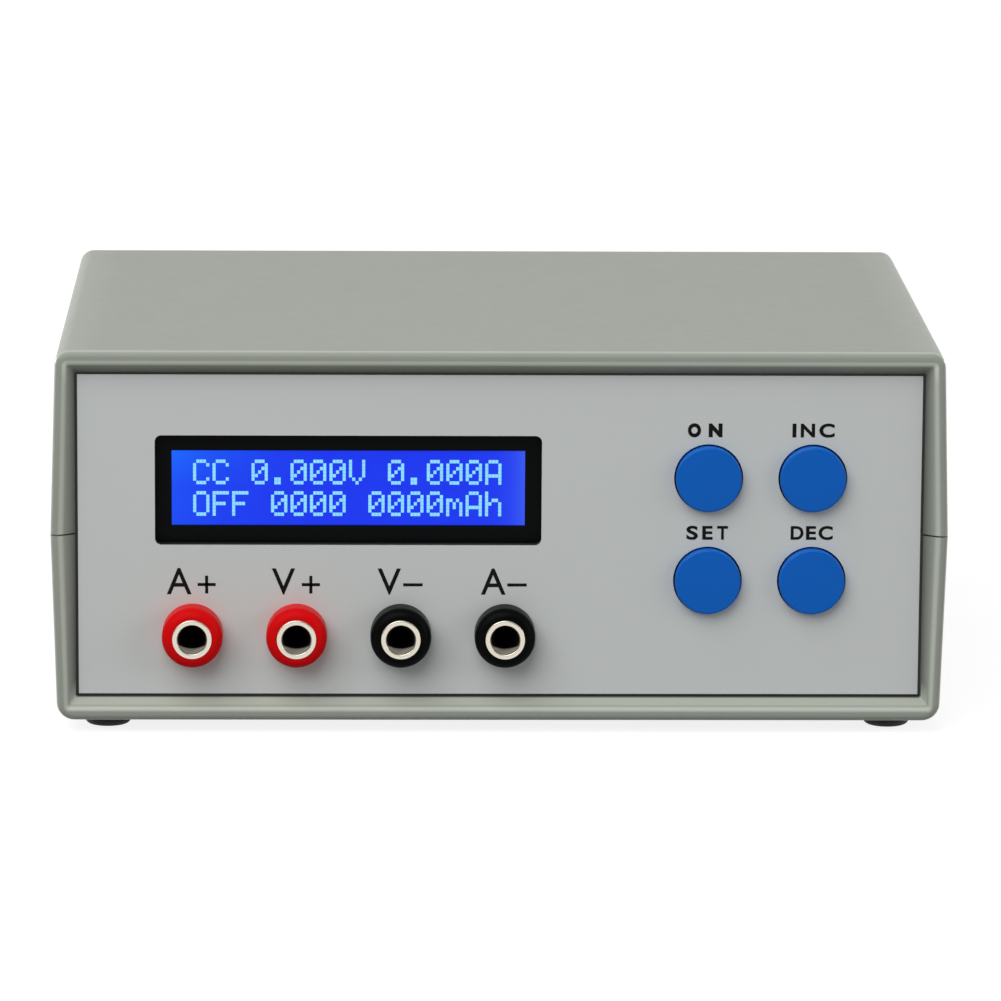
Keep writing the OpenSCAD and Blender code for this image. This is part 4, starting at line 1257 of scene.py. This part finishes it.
@dataclass
class CaseShells:
    """The two moulded half shells with pillars, tongue, screw holes and air slots."""

    case: CaseSizes
    pillar_inset: Point2 = (10 * MM, 22 * MM)
    pillar: float = 4 * MM
    boss: float = 3.6 * MM
    head_hole: float = 2.9 * MM
    screw_hole: float = 1.55 * MM
    pillar_seat: float = 6 * MM
    tongue: float = 1.2 * MM
    tongue_root: float = 3 * MM
    root_depth: float = 0.6 * MM
    tongue_rise: float = 1.8 * MM
    tongue_clear: float = 0.2 * MM
    slot_width: float = 4.4 * MM
    slot_length: float = 40 * MM
    slot_pitch: float = 9 * MM
    slot_count: int = 9
    slot_steps: int = 16
    spare: float = 0.5 * MM

    def pillars(self) -> list[Point2]:
        """Axes of the four pillars."""
        case = self.case
        x = case.half_width - self.pillar_inset[0]
        middle = (case.front + case.rear) / 2
        y = (case.rear - case.front) / 2 - self.pillar_inset[1]
        return [(sx * x, middle + sy * y) for sx in (-1, 1) for sy in (-1, 1)]

    def slot_tool(self) -> bpy.types.Object:
        """One air slot as an upright block with round ends."""
        reach = (self.slot_length - self.slot_width) / 2
        radius = self.slot_width / 2
        outline = arc((0.0, reach), radius, 0, 180, self.slot_steps)
        outline += arc((0.0, -reach), radius, 180, 360, self.slot_steps)
        work = bmesh.new()
        foot = work.faces.new([work.verts.new((x, y, -self.spare)) for x, y in outline])
        raised = bmesh.ops.extrude_face_region(work, geom=[foot])
        lifted = [part for part in raised["geom"] if isinstance(part, bmesh.types.BMVert)]
        bmesh.ops.translate(work, vec=(0, 0, self.case.wall + 2 * self.spare), verts=lifted)
        return finish_mesh(work, "slot_tool")

    def add_tongues(self, lower: bpy.types.Object) -> None:
        """Join a tongue, with its root in the wall, to each side of the lower shell."""
        case = self.case
        near, far = case.front + case.rib_end(), case.rear - case.rib_end()
        foot = case.parting - self.tongue_root
        edge = case.parting - case.parting_gap / 2 - self.spare
        top = case.parting + self.tongue_rise
        wall_face = case.half_width - case.side_wall
        outer = wall_face - self.tongue_clear
        inner = outer - self.tongue
        parts = ((wall_face + self.root_depth, edge, "root"), (outer, top, "tongue"))
        for side in (-1, 1):
            for reach, height, name in parts:
                left, right = sorted((side * inner, side * reach))
                combine(lower, slab((left, near, foot), (right, far, height), name), Way.JOIN)

    def drill_pillars(self, lower: bpy.types.Object) -> None:
        """Drill each lower pillar for its screw's head and shank."""
        case = self.case
        seat = case.parting - self.pillar_seat
        top = case.parting + self.spare
        for place in self.pillars():
            combine(lower, post(place, self.head_hole, case.low - self.spare, seat, "head_hole"), Way.CUT)
            combine(lower, post(place, self.screw_hole, seat - self.spare, top, "bore"), Way.CUT)

    def cut_slots(self, lower: bpy.types.Object) -> None:
        """Cut the row of air slots through the lower shell's floor."""
        case = self.case
        middle = (0.0, (case.front + case.rear) / 2, case.low)
        width = self.slot_pitch * (self.slot_count - 1)
        finish = FINISHES[Slot.CASE]
        slots = GridGrower("air_slots").copies(self.slot_tool(), finish, middle, self.slot_count, width)
        combine(lower, slots, Way.CUT)

    def build(self) -> None:
        """Make and dress both shells."""
        case = self.case
        upper = Shell(case, Half.UPPER).build("upper_shell")
        lower = Shell(case, Half.LOWER).build("lower_shell")
        for place in self.pillars():
            boss = post(place, self.boss, case.parting, case.top - case.wall / 2, "boss")
            combine(upper, boss, Way.JOIN)
            pillar = post(place, self.pillar, case.low + case.wall / 2, case.parting, "pillar")
            combine(lower, pillar, Way.JOIN)
        self.add_tongues(lower)
        self.drill_pillars(lower)
        self.cut_slots(lower)
        for shell, node in ((upper, "top_cover"), (lower, "bottom_cover")):
            refold(shell.data, FOLD)
            even_normals(shell)
            dress(shell, Slot.CASE, Body.CASE, node)


@dataclass
class Lettering:
    """Printed letters on the film, each made from the built-in font."""

    face: float
    lift: float = 0.03 * MM
    thickness: float = 0.02
    curve_steps: int = 8

    def glyph(self, letter: str, height: float, width: float, weight: float) -> bpy.types.Mesh:
        """One letter as a thin mesh, its left foot at the origin, facing the front.

        Args:
            letter: The letter.
            height: Height of a capital letter.
            width: Width of the letter.
            weight: Growth of the strokes, as a share of the height.

        Returns:
            The letter's mesh.
        """
        text = bpy.data.curves.new("glyph", "FONT")
        text.body = letter
        text.offset = weight
        text.extrude = self.thickness / 2
        text.resolution_u = self.curve_steps
        holder = object_of(text, "glyph")
        mesh = plain_mesh(holder)
        bpy.data.objects.remove(holder)
        bpy.data.curves.remove(text)
        low, high = self.span(mesh)
        scale = height / (self.capital() + 2 * weight)
        flatten = self.lift / self.thickness
        mesh.transform(Matrix.Diagonal((width / (high - low), scale, flatten, 1.0)))
        mesh.transform(Matrix.Translation((0, scale * weight, 0)))
        mesh.transform(Matrix.Rotation(math.pi / 2, 4, "X"))
        mesh.transform(Matrix.Translation((0, self.face - self.lift / 2, 0)))
        return mesh

    @staticmethod
    @cache
    def capital() -> float:
        """Height of the built-in font's capital letters at size 1."""
        text = bpy.data.curves.new("measure", "FONT")
        text.body = "H"
        holder = object_of(text, "measure")
        bpy.context.view_layer.update()
        height = holder.dimensions.y
        bpy.data.objects.remove(holder)
        return height

    @staticmethod
    def span(mesh: bpy.types.Mesh) -> Point2:
        """Lowest and highest X of a mesh."""
        places = [point.co.x for point in mesh.vertices]
        return min(places), max(places)

    def word(
        self, letters: str, name: str, centre: float, foot: float, height: float, width: float,
        widths: Sequence[float], weight: float,
    ) -> bpy.types.Object:
        """A word with even gaps between its letters.

        Args:
            letters: The word.
            name: The object's name.
            centre: X of its middle.
            foot: Height of its baseline.
            height: Height of a capital letter.
            width: Width of the whole word.
            widths: Width of each letter.
            weight: Growth of the strokes.

        Returns:
            The word as one mesh.
        """
        gap = (width - sum(widths)) / max(len(letters) - 1, 1)
        x = centre - width / 2
        work = bmesh.new()
        for letter, wide in zip(letters, widths):
            mesh = self.glyph(letter, height, wide, weight)
            mesh.transform(Matrix.Translation((x - self.span(mesh)[0], 0, foot)))
            work.from_mesh(mesh)
            bpy.data.meshes.remove(mesh)
            x += wide + gap
        return finish_mesh(work, name)


@dataclass
class Sockets:
    """Four 4 mm sockets: coloured noses, plated contacts and their letters."""

    pitch: float = 19 * MM
    nose: float = 5.55 * MM
    nose_length: float = 5.5 * MM
    nose_round: float = 1.8 * MM
    barrel: float = 4 * MM
    barrel_length: float = 11 * MM
    collar: float = 3.6 * MM
    collar_length: float = 1 * MM
    contact: float = 2.8 * MM
    fit: float = 0.05 * MM
    mouth: float = 2.72 * MM
    mouth_depth: float = 2.5 * MM
    mouth_edge: float = 0.15 * MM
    bore: float = 2 * MM
    bore_depth: float = 18 * MM
    contact_end: float = 2 * MM
    tail: float = 1.5 * MM
    letter_height: float = 4.85 * MM
    letter_foot: float = 7.28 * MM
    a_width: float = 4.5 * MM
    v_width: float = 4.25 * MM
    letter_weight: float = 0.005
    plus_shifts: Point2 = (-2.42 * MM, 2.58 * MM)
    minus_shifts: Point2 = (-2.12 * MM, 2.2 * MM)
    plus_size: float = 3.3 * MM
    minus_size: float = 3.55 * MM
    sign_stroke: float = 0.56 * MM
    sign_rise: float = 1.82 * MM
    count: int = 4
    round_steps: int = 12
    edge_steps: int = 4

    def insulator(self) -> bpy.types.Object:
        """One coloured nose with its barrel, its face towards the front at the film."""
        front = -self.nose_length
        step = front + self.collar_length
        recess = self.collar + self.fit
        inner = self.contact + self.fit
        rounding = self.nose_round
        profile = [(recess, front)]
        profile += arc((self.nose - rounding, front + rounding), rounding, -90, 0, self.round_steps)
        profile += [(self.nose, 0.0), (self.barrel, 0.0), (self.barrel, self.barrel_length)]
        profile += [(inner, self.barrel_length), (inner, step), (recess, step)]
        return lathe(profile, "insulator")

    def contact_piece(self, front: float, tail_end: float) -> bpy.types.Object:
        """One plated contact: collar, conical mouth, blind bore and tail.

        Args:
            front: Y of its face.
            tail_end: Y of its solder tail.

        Returns:
            The contact.
        """
        collar_end = self.collar_length - self.nose_length
        bore_end = front + self.bore_depth
        end = bore_end + self.contact_end
        edge = self.mouth_edge
        profile = [(0.0, bore_end), (self.bore, bore_end), (self.bore, front + self.mouth_depth)]
        profile += arc((self.mouth + edge, front + edge), edge, 180, 270, self.edge_steps)
        profile += arc((self.collar - edge, front + edge), edge, 270, 360, self.edge_steps)
        profile += [(self.collar, collar_end), (self.contact, collar_end), (self.contact, end)]
        profile += [(self.tail, end), (self.tail, tail_end), (0.0, tail_end)]
        return lathe(profile, "contact", closed=False)

    def build(self, film: float) -> None:
        """Make the sockets where the frame has them.

        Args:
            film: Y of the film's face.
        """
        low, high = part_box("jack_contacts")
        height = (low.z + high.z) / 2
        middle = (low.x + high.x) / 2
        pairs = (
            (-1, Slot.SOCKET_RED, "red_jack_insulators", "red_noses"),
            (1, Slot.SOCKET_BLACK, "black_jack_insulators", "black_noses"),
        )
        for side, slot, node, name in pairs:
            centre = (middle + side * self.pitch, film, height)
            grower = GridGrower(name)
            noses = grower.copies(self.insulator(), FINISHES[slot], centre, self.count // 2, self.pitch)
            dress(noses, slot, Body.CASE, node)
        piece = self.contact_piece(low.y - film, high.y - film)
        centre = (middle, film, height)
        width = (self.count - 1) * self.pitch
        grower = GridGrower("socket_contacts")
        contacts = grower.copies(piece, SOCKET_METAL, centre, self.count, width)
        dress(contacts, Slot.CONTACT, Body.CASE, "jack_contacts", finish=SOCKET_METAL)
        self.print_letters(film, middle, height)

    def print_letters(self, film: float, middle: float, height: float) -> None:
        """Print the letter and sign over each socket.

        Args:
            film: Y of the film's face.
            middle: X of the row's middle.
            height: Z of the row.
        """
        print_on = Lettering(film)
        foot = height + self.letter_foot
        work = bmesh.new()
        letters = (("A", True), ("V", True), ("V", False), ("A", False))
        for place, (letter, plus) in enumerate(letters):
            x = middle + (place - (self.count - 1) / 2) * self.pitch
            letter_shift, sign_shift = self.plus_shifts if plus else self.minus_shifts
            width = self.a_width if letter == "A" else self.v_width
            centre = x + letter_shift
            tall = self.letter_height
            word = print_on.word(letter, "letter", centre, foot, tall, width, (width,), self.letter_weight)
            bars = self.sign(x + sign_shift, foot + self.sign_rise, plus, print_on)
            for piece in (word, *bars):
                work.from_mesh(piece.data)
                bpy.data.objects.remove(piece)
        dress(finish_mesh(work, "socket_letters"), Slot.PLATE, Body.CASE, finish=INK)

    def sign(self, x: float, z: float, plus: bool, print_on: Lettering) -> list[bpy.types.Object]:
        """Bars of a plus or minus sign.

        Args:
            x, z: Its middle.
            plus: Whether it is a plus.
            print_on: The print that it belongs to.

        Returns:
            The bars.
        """
        half = (self.plus_size if plus else self.minus_size) / 2
        stroke = self.sign_stroke / 2
        sizes = [(half, stroke), (stroke, half)] if plus else [(half, stroke)]
        back = print_on.face
        front = back - print_on.lift
        bars = []
        for wide, tall in sizes:
            bars.append(slab((x - wide, front, z - tall), (x + wide, back, z + tall), "bar"))
        return bars


@dataclass(frozen=True)
class Key:
    """One key: body, node, word, the word's width and letter widths, its shift and its weight."""

    body: Body
    node: str
    word: str
    width: float
    widths: tuple[float, ...]
    shift: float
    weight: float


KEYS = (
    Key(Body.ON, "on_button", "ON", 6.3 * MM, (2.4 * MM, 2.5 * MM), -0.75 * MM, 0.065),
    Key(Body.INC, "inc_button", "INC", 7.7 * MM, (0.72 * MM, 2.6 * MM, 2.8 * MM), 0.0, 0.035),
    Key(Body.SET, "set_button", "SET", 7.6 * MM, (2.1 * MM, 1.9 * MM, 2.0 * MM), -0.15 * MM, 0.03),
    Key(Body.DEC, "dec_button", "DEC", 7.7 * MM, (2.35 * MM, 1.85 * MM, 2.6 * MM), -0.05 * MM, 0.03),
)


@dataclass
class Buttons:
    """Four round caps, each on its own body, with a word over each."""

    edge: float = 0.42 * MM
    crown: float = 0.06 * MM
    wall: float = 1.2 * MM
    roof: float = 2 * MM
    post: float = 3.49 * MM
    letter_height: float = 2.55 * MM
    letter_foot: float = 7.6 * MM
    crown_steps: int = 8
    edge_steps: int = 10

    def cap(self, radius: float, front: float, back: float, name: str) -> bpy.types.Object:
        """One cap with a slightly crowned face, hollow behind.

        Args:
            radius: Its radius.
            front, back: Y of its face and of its skirt.
            name: The object's name.

        Returns:
            The cap, round the Y axis.
        """
        edge = self.edge
        flat = radius - edge
        inner = radius - self.wall
        roof = front + self.roof
        shares = [i / self.crown_steps for i in range(self.crown_steps + 1)]
        profile = [(flat * share, front + self.crown * share ** 2) for share in shares]
        profile += arc((flat, front + self.crown + edge), edge, -90, 0, self.edge_steps)[1:]
        profile += [(radius, back), (inner, back), (inner, roof)]
        profile += [(self.post, roof), (self.post, back), (0.0, back)]
        return lathe(profile, name, closed=False)

    def build(self, film: float) -> None:
        """Make the caps and their words.

        Args:
            film: Y of the film's face.
        """
        print_on = Lettering(film)
        for key in KEYS:
            low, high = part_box(key.node)
            middle = (low + high) / 2
            name = key.word.lower()
            cap = self.cap((high.x - low.x) / 2, low.y, high.y, name + "_cap")
            cap.data.transform(Matrix.Translation((middle.x, 0, middle.z)))
            dress(cap, Slot.BUTTON, key.body, key.node)
            centre = middle.x + key.shift
            foot = middle.z + self.letter_foot
            printed = print_on.word(
                key.word, name + "_word", centre, foot, self.letter_height, key.width, key.widths, key.weight
            )
            dress(printed, Slot.PLATE, Body.CASE, finish=INK)


GLYPHS: dict[str, tuple[str, ...]] = {
    "C": (" ### ", "#   #", "#    ", "#    ", "#    ", "#   #", " ### "),
    "0": (" ### ", "#   #", "#  ##", "# # #", "##  #", "#   #", " ### "),
    ".": ("     ", "     ", "     ", "     ", "     ", " ##  ", " ##  "),
    "V": ("#   #", "#   #", "#   #", "#   #", "#   #", " # # ", "  #  "),
    "A": (" ### ", "#   #", "#   #", "#   #", "#####", "#   #", "#   #"),
    "O": (" ### ", "#   #", "#   #", "#   #", "#   #", "#   #", " ### "),
    "F": ("#####", "#    ", "#    ", "#### ", "#    ", "#    ", "#    "),
    "m": ("     ", "     ", "## # ", "# # #", "# # #", "#   #", "#   #"),
    "h": ("#    ", "#    ", "# ## ", "##  #", "#   #", "#   #", "#   #"),
    " ": ("     ",) * 7,
}


class DotGrower(Grower):
    """A small block on every point of a mesh."""

    def __init__(self, name: str) -> None:
        """Build the tree: blocks on points, realised."""
        super().__init__(name)
        size = self.vector(self.number("Dot width"), self.number("Dot depth"), self.number("Dot height"))
        block = self.added("GeometryNodeMeshCube", {"Size": size})
        self.close(self.added("GeometryNodeInstanceOnPoints", {"Points": self.base, "Instance": block}))


@dataclass
class Display:
    """The lit characters on the display's glass."""

    rows: tuple[str, str] = ("CC 0.000V 0.000A", "OFF 0000 0000mAh")
    letter_pitch: float = 3.55 * MM
    row_pitch: float = 5.86 * MM
    dot_pitch: Point2 = (0.6 * MM, 0.66 * MM)
    dot_size: Point2 = (0.56 * MM, 0.62 * MM)
    dot_depth: float = 0.04 * MM
    rise: float = -0.07 * MM
    shift: float = -0.2 * MM
    columns: int = 5
    lines: int = 7
    sink_share: float = 0.25

    def marks(self) -> Iterator[tuple[int, int, int, int]]:
        """Row, place, line and column of every lit dot."""
        for row, text in enumerate(self.rows):
            for place, letter in enumerate(text):
                for line, dots in enumerate(GLYPHS[letter]):
                    yield from ((row, place, line, column) for column, dot in enumerate(dots) if dot == "#")

    def build(self) -> None:
        """Set one dot for each mark of the letters."""
        low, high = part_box("display_glass")
        middle = (low + high) / 2
        block_width = (len(self.rows[0]) - 1) * self.letter_pitch + (self.columns - 1) * self.dot_pitch[0]
        block_height = self.row_pitch + (self.lines - 1) * self.dot_pitch[1]
        left = middle.x - block_width / 2 + self.shift
        top = middle.z + block_height / 2 + self.rise
        face = low.y - self.dot_depth * self.sink_share
        points = []
        for row, place, line, column in self.marks():
            x = left + place * self.letter_pitch + column * self.dot_pitch[0]
            z = top - row * self.row_pitch - line * self.dot_pitch[1]
            points.append((x, face, z))
        base = bpy.data.meshes.new("lit_characters")
        base.from_pydata(points, [], [])
        sizes = {"Dot_width": self.dot_size[0], "Dot_height": self.dot_size[1], "Dot_depth": self.dot_depth}
        dress(DotGrower("lit_characters").grow(base, DOTS, **sizes), Slot.DISPLAY, Body.CASE, finish=DOTS)


@dataclass
class Feet:
    """Four stick-on rubber bumpers."""

    edge: float = 1 * MM
    edge_steps: int = 10
    upper_edge: float = 0.2 * MM
    dish: float = 0.2 * MM
    dish_inset: float = 2.2 * MM
    ring_inset: float = 1.6 * MM

    def build(self) -> None:
        """Make the feet where the frame has them."""
        low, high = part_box("rubber_feet")
        places = [point.co.x for point in frame["nodes"]["rubber_feet"].data.vertices]
        radius = (max(places) - min(place for place in places if place > 0)) / 2
        edge = self.edge
        height = high.z - low.z
        profile = [(0.0, self.dish), (radius - self.dish_inset, self.dish), (radius - self.ring_inset, 0.0)]
        profile += arc((radius - edge, edge), edge, -90, 0, self.edge_steps)
        profile += [(radius, height - self.upper_edge), (radius - self.upper_edge, height), (0.0, height)]
        foot = lathe(profile, "foot", closed=False)
        foot.data.transform(Matrix.Rotation(math.pi / 2, 4, "X"))
        middle = (low + high) / 2
        centre = (middle.x, middle.y, low.z)
        width = high.x - low.x - 2 * radius
        depth = high.y - low.y - 2 * radius
        feet = GridGrower("feet").copies(foot, FINISHES[Slot.FOOT], centre, 2, width, 2, depth)
        dress(feet, Slot.FOOT, Body.CASE, "rubber_feet")


class GuardGrower(Grower):
    """A wire fan guard: rings, four spokes and a loop at the end of each."""

    RING_STEPS = 72
    LOOP_STEPS = 32
    WIRE_SIDES = 12
    SPOKES = 4

    def __init__(self, name: str) -> None:
        """Build the tree: wires as curves, swept with a round section, realised."""
        super().__init__(name)
        first = self.number("First radius")
        step = self.number("Ring step")
        wire = self.number("Wire radius")
        lift = self.number("Ring lift")
        corner = self.number("Corner reach")
        loop = self.number("Loop radius")
        count = self.add_input("Rings", "NodeSocketInt")
        index = self.added("GeometryNodeInputIndex")
        size = first + index * step
        rings = self.copied(count, self.circle(self.RING_STEPS, 1.0), Scale=self.vector(size, size, 1.0))
        rings = self.shifted(rings, self.vector(z=lift))
        ends = {"Start": self.vector(first), "End": self.vector(corner - loop)}
        spoke = self.added("GeometryNodeCurvePrimitiveLine", ends)
        eye = self.shifted(self.circle(self.LOOP_STEPS, loop), self.vector(corner))
        turn = self.vector(z=(index + 0.5) * (2 * math.pi / self.SPOKES))
        arms = self.copied(self.SPOKES, self.joined(spoke, eye), Rotation=turn)
        real = self.added("GeometryNodeRealizeInstances", {0: self.joined(rings, arms)})
        even = self.added("GeometryNodeSetCurveRadius", {"Curve": real, "Radius": 1.0})
        sockets = {"Curve": even, "Profile Curve": self.circle(self.WIRE_SIDES, wire), "Fill Caps": True}
        swept = self.added("GeometryNodeCurveToMesh", sockets)
        self.close(self.added("GeometryNodeSetShadeSmooth", {"Geometry": swept}))

    def circle(self, steps: int, radius: Value) -> Wire:
        """A round curve."""
        return self.added("GeometryNodeCurvePrimitiveCircle", {"Resolution": steps, "Radius": radius})

    def shifted(self, piece: Wire, shift: Wire) -> Wire:
        """A piece moved by a vector."""
        return self.added("GeometryNodeTransform", {0: piece, "Translation": shift})

    def copied(self, count: Value, piece: Wire, **change: Wire) -> Wire:
        """Copies of a piece on one spot, each scaled or turned by its own vector."""
        spots = self.added("GeometryNodeMeshLine", {"Count": count, "Offset": (0, 0, 0)})
        return self.added("GeometryNodeInstanceOnPoints", {"Points": spots, "Instance": piece, **change})

    def joined(self, *pieces: Wire) -> Wire:
        """Several pieces as one.

        Args:
            pieces: The pieces, in order.

        Returns:
            All of them.
        """
        made = self.tree.node("GeometryNodeJoinGeometry")
        for piece in pieces:
            self.tree.feed(made, 0, piece)
        return self.tree.wire(made)


@dataclass
class RearSide:
    """Fan, guard and sockets behind the rear plate."""

    wire: float = 1.3 * MM
    first_ring: float = 5 * MM
    rings: int = 4
    loop: float = 2.6 * MM
    hole_pitch: float = 40 * MM
    duct: float = 23.8 * MM
    lift_share: float = 0.8
    wire_fold: float = math.radians(60)

    def build(self) -> None:
        """Make the guard, and smooth copies of the turned and bladed pieces."""
        self.build_guard()
        copies = (
            ("fan_frame", Slot.FAN, Body.CASE),
            ("fan_screws", Slot.STEEL, Body.CASE),
            ("dc_inlet", Slot.MOULDED, Body.CASE),
            ("dc_inlet_pin", Slot.CONTACT, Body.CASE),
            ("data_jack", Slot.MOULDED, Body.CASE),
            ("data_jack_nut", Slot.CONTACT, Body.CASE),
            ("fan_impeller", Slot.FAN, Body.ROTOR),
            ("case_screws", Slot.STEEL, Body.CASE),
        )
        for node, slot, body in copies:
            dress(smoothed(node), slot, body, node)

    def build_guard(self) -> None:
        """Grow the guard and set it on the rear plate."""
        low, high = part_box("fan_guard")
        radius = self.wire / 2
        last_ring = self.duct - self.wire
        base = bpy.data.meshes.new("fan_guard_wires")
        guard = GuardGrower("fan_guard_wires").grow(
            base, FINISHES[Slot.STEEL], First_radius=self.first_ring,
            Ring_step=(last_ring - self.first_ring) / (self.rings - 1), Wire_radius=radius,
            Ring_lift=self.lift_share * self.wire, Corner_reach=self.hole_pitch / math.sqrt(2),
            Loop_radius=self.loop, Rings=self.rings,
        )
        middle = (low + high) / 2
        guard.data.transform(Matrix.Rotation(-math.pi / 2, 4, "X"))
        guard.data.transform(Matrix.Translation((middle.x, low.y + radius, middle.z)))
        refold(guard.data, self.wire_fold, outwards=True)
        dress(guard, Slot.STEEL, Body.CASE, "fan_guard")


def dress_frame() -> None:
    """Give every frame node the finish of its record slot."""
    for part in frame["record"]["subparts"]:
        node = frame["nodes"][part["node"]]
        node.data.materials.clear()
        node.data.materials.append(material_of(FINISHES[Slot(part["material_slot"])]))
        log.info("%s takes %s", part["node"], part["material_slot"])


@dataclass(frozen=True)
class Lamp:
    """A soft lamp: name, place and size in metres, power in watts."""

    name: str
    place: Point3
    size: Point2
    power: float

    def hang(self, target: Point3) -> None:
        """Make the lamp, aimed at a point.

        Args:
            target: The point.
        """
        light = bpy.data.lights.new(self.name, "AREA")
        light.shape = "RECTANGLE"
        light.size, light.size_y = self.size
        light.energy = self.power
        aim = (Vector(target) - Vector(self.place)).to_track_quat("-Z", "Y")
        holder = object_of(light, self.name)
        holder.matrix_world = Matrix.Translation(self.place) @ aim.to_matrix().to_4x4()


LAMPS = (
    Lamp("overhead", (-0.6, -1.12, 1.32), (1.8, 1.8), 29.5),
    Lamp("right_fill", (1.5, -0.8, 0.5), (1.0, 0.8), 5.0),
    Lamp("low_left", (-1.35, 1.0, 0.17), (0.9, 0.3), 12.0),
    Lamp("low_right", (1.35, 1.0, 0.17), (0.9, 0.3), 12.0),
)


@dataclass
class Studio:
    """White floor, soft lamps and the camera at the photograph's angle."""

    place: Point3 = (-27.77 * MM, -1217.08 * MM, 269.54 * MM)
    yaw: float = -0.024
    pitch: float = -0.1925
    roll: float = -0.0064
    focal: float = 6495.9
    floor_half: float = 6.0
    floor_grey: float = 0.3
    floor_glow: float = 0.85
    ambient: float = 0.18
    wall_place: float = -2.6
    wall_half: float = 3.0
    wall_height: float = 2.2
    wall_grey: float = 0.04
    target: Point3 = (0.0, 0.0, 0.03)
    sight: float = 50.0

    def build(self) -> None:
        """Make everything that isn't part of the object."""
        scene = bpy.context.scene
        scene.view_settings.view_transform = "Standard"
        self.build_camera(scene)
        self.build_floor()
        self.build_wall()
        self.build_world(scene)
        for lamp in LAMPS:
            lamp.hang(self.target)

    def build_camera(self, scene: bpy.types.Scene) -> None:
        """Set the camera where the photograph was taken from."""
        camera = bpy.data.cameras.new("camera")
        camera.sensor_width = SENSOR
        camera.lens = self.focal * SENSOR / IMAGE_SIDE
        camera.clip_end = self.sight
        eye = object_of(camera, "camera")
        turn = Matrix.Rotation(self.yaw, 3, "Z") @ Matrix.Rotation(self.pitch, 3, "X")
        turn = turn @ Matrix.Rotation(self.roll, 3, "Y")
        right = turn @ Vector((1, 0, 0))
        ahead = turn @ Vector((0, 1, 0))
        up = turn @ Vector((0, 0, 1))
        axes = Matrix((right, up, -ahead)).transposed()
        eye.matrix_world = Matrix.Translation(self.place) @ axes.to_4x4()
        scene.camera = eye

    @staticmethod
    def seen(tree: Tree) -> Wire:
        """1 for rays that show the background, straight or in a reflection.

        Args:
            tree: The tree that asks.

        Returns:
            The value.
        """
        path = tree.node("ShaderNodeLightPath")
        straight = tree.wire(path, "Is Camera Ray")
        mirrored = tree.wire(path, "Is Glossy Ray")
        through = tree.wire(path, "Is Transmission Ray")
        return straight.at_least(mirrored).at_least(through)

    @staticmethod
    def sheet(name: str, corners: Sequence[Point3], grey: float) -> tuple[bpy.types.Object, Tree, Wire]:
        """A flat sheet of the studio with a matt grey shader.

        Args:
            name: Its name.
            corners: Its corners in order.
            grey: How pale it is.

        Returns:
            The sheet, its material's tree and its shader.
        """
        mesh = bpy.data.meshes.new(name)
        mesh.from_pydata(corners, [], [tuple(range(len(corners)))])
        material = bpy.data.materials.new(name)
        material.use_nodes = True
        material.node_tree.nodes.clear()
        mesh.materials.append(material)
        tree = Tree(material.node_tree)
        matt = tree.wire(tree.node("ShaderNodeBsdfDiffuse", {}, {"Color": (grey, grey, grey, 1.0)}))
        return object_of(mesh, name), tree, matt

    def build_floor(self) -> None:
        """A white floor that keeps the object's shadow."""
        half = self.floor_half
        corners = ((-half, -half, 0), (half, -half, 0), (half, half, 0), (-half, half, 0))
        floor, tree, matt = self.sheet("floor", corners, self.floor_grey)
        sockets = {"Color": WHITE, "Strength": self.seen(tree) * self.floor_glow}
        glow = tree.wire(tree.node("ShaderNodeEmission", {}, sockets))
        both = tree.wire(tree.node("ShaderNodeAddShader", {}, {0: matt, 1: glow}))
        tree.node("ShaderNodeOutputMaterial", {}, {0: both})

    def build_wall(self) -> None:
        """The dim end of the room in front of the part, unseen by the camera itself."""
        half, y, top = self.wall_half, self.wall_place, self.wall_height
        corners = ((-half, y, 0), (-half, y, top), (half, y, top), (half, y, 0))
        wall, tree, matt = self.sheet("room_end", corners, self.wall_grey)
        tree.node("ShaderNodeOutputMaterial", {}, {0: matt})
        wall.visible_camera = False

    def build_world(self, scene: bpy.types.Scene) -> None:
        """A white world that lights softly."""
        world = bpy.data.worlds.new("white_world")
        world.use_nodes = True
        scene.world = world
        world.node_tree.nodes.clear()
        tree = Tree(world.node_tree)
        strength = self.ambient + self.seen(tree) * (1 - self.ambient)
        sky = tree.node("ShaderNodeBackground", {}, {"Color": WHITE, "Strength": strength})
        tree.node("ShaderNodeOutputWorld", {}, {0: tree.wire(sky)})


def main() -> None:
    """Build the pieces in order."""
    logging.basicConfig(level=logging.INFO, format="%(message)s")
    case = CaseSizes.from_frame()
    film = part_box("front_film")[0].y
    dress_frame()
    CaseShells(case).build()
    Display().build()
    Sockets().build(film)
    Buttons().build(film)
    Feet().build()
    RearSide().build()
    Studio().build()


if __name__ == "__main__":
    main()
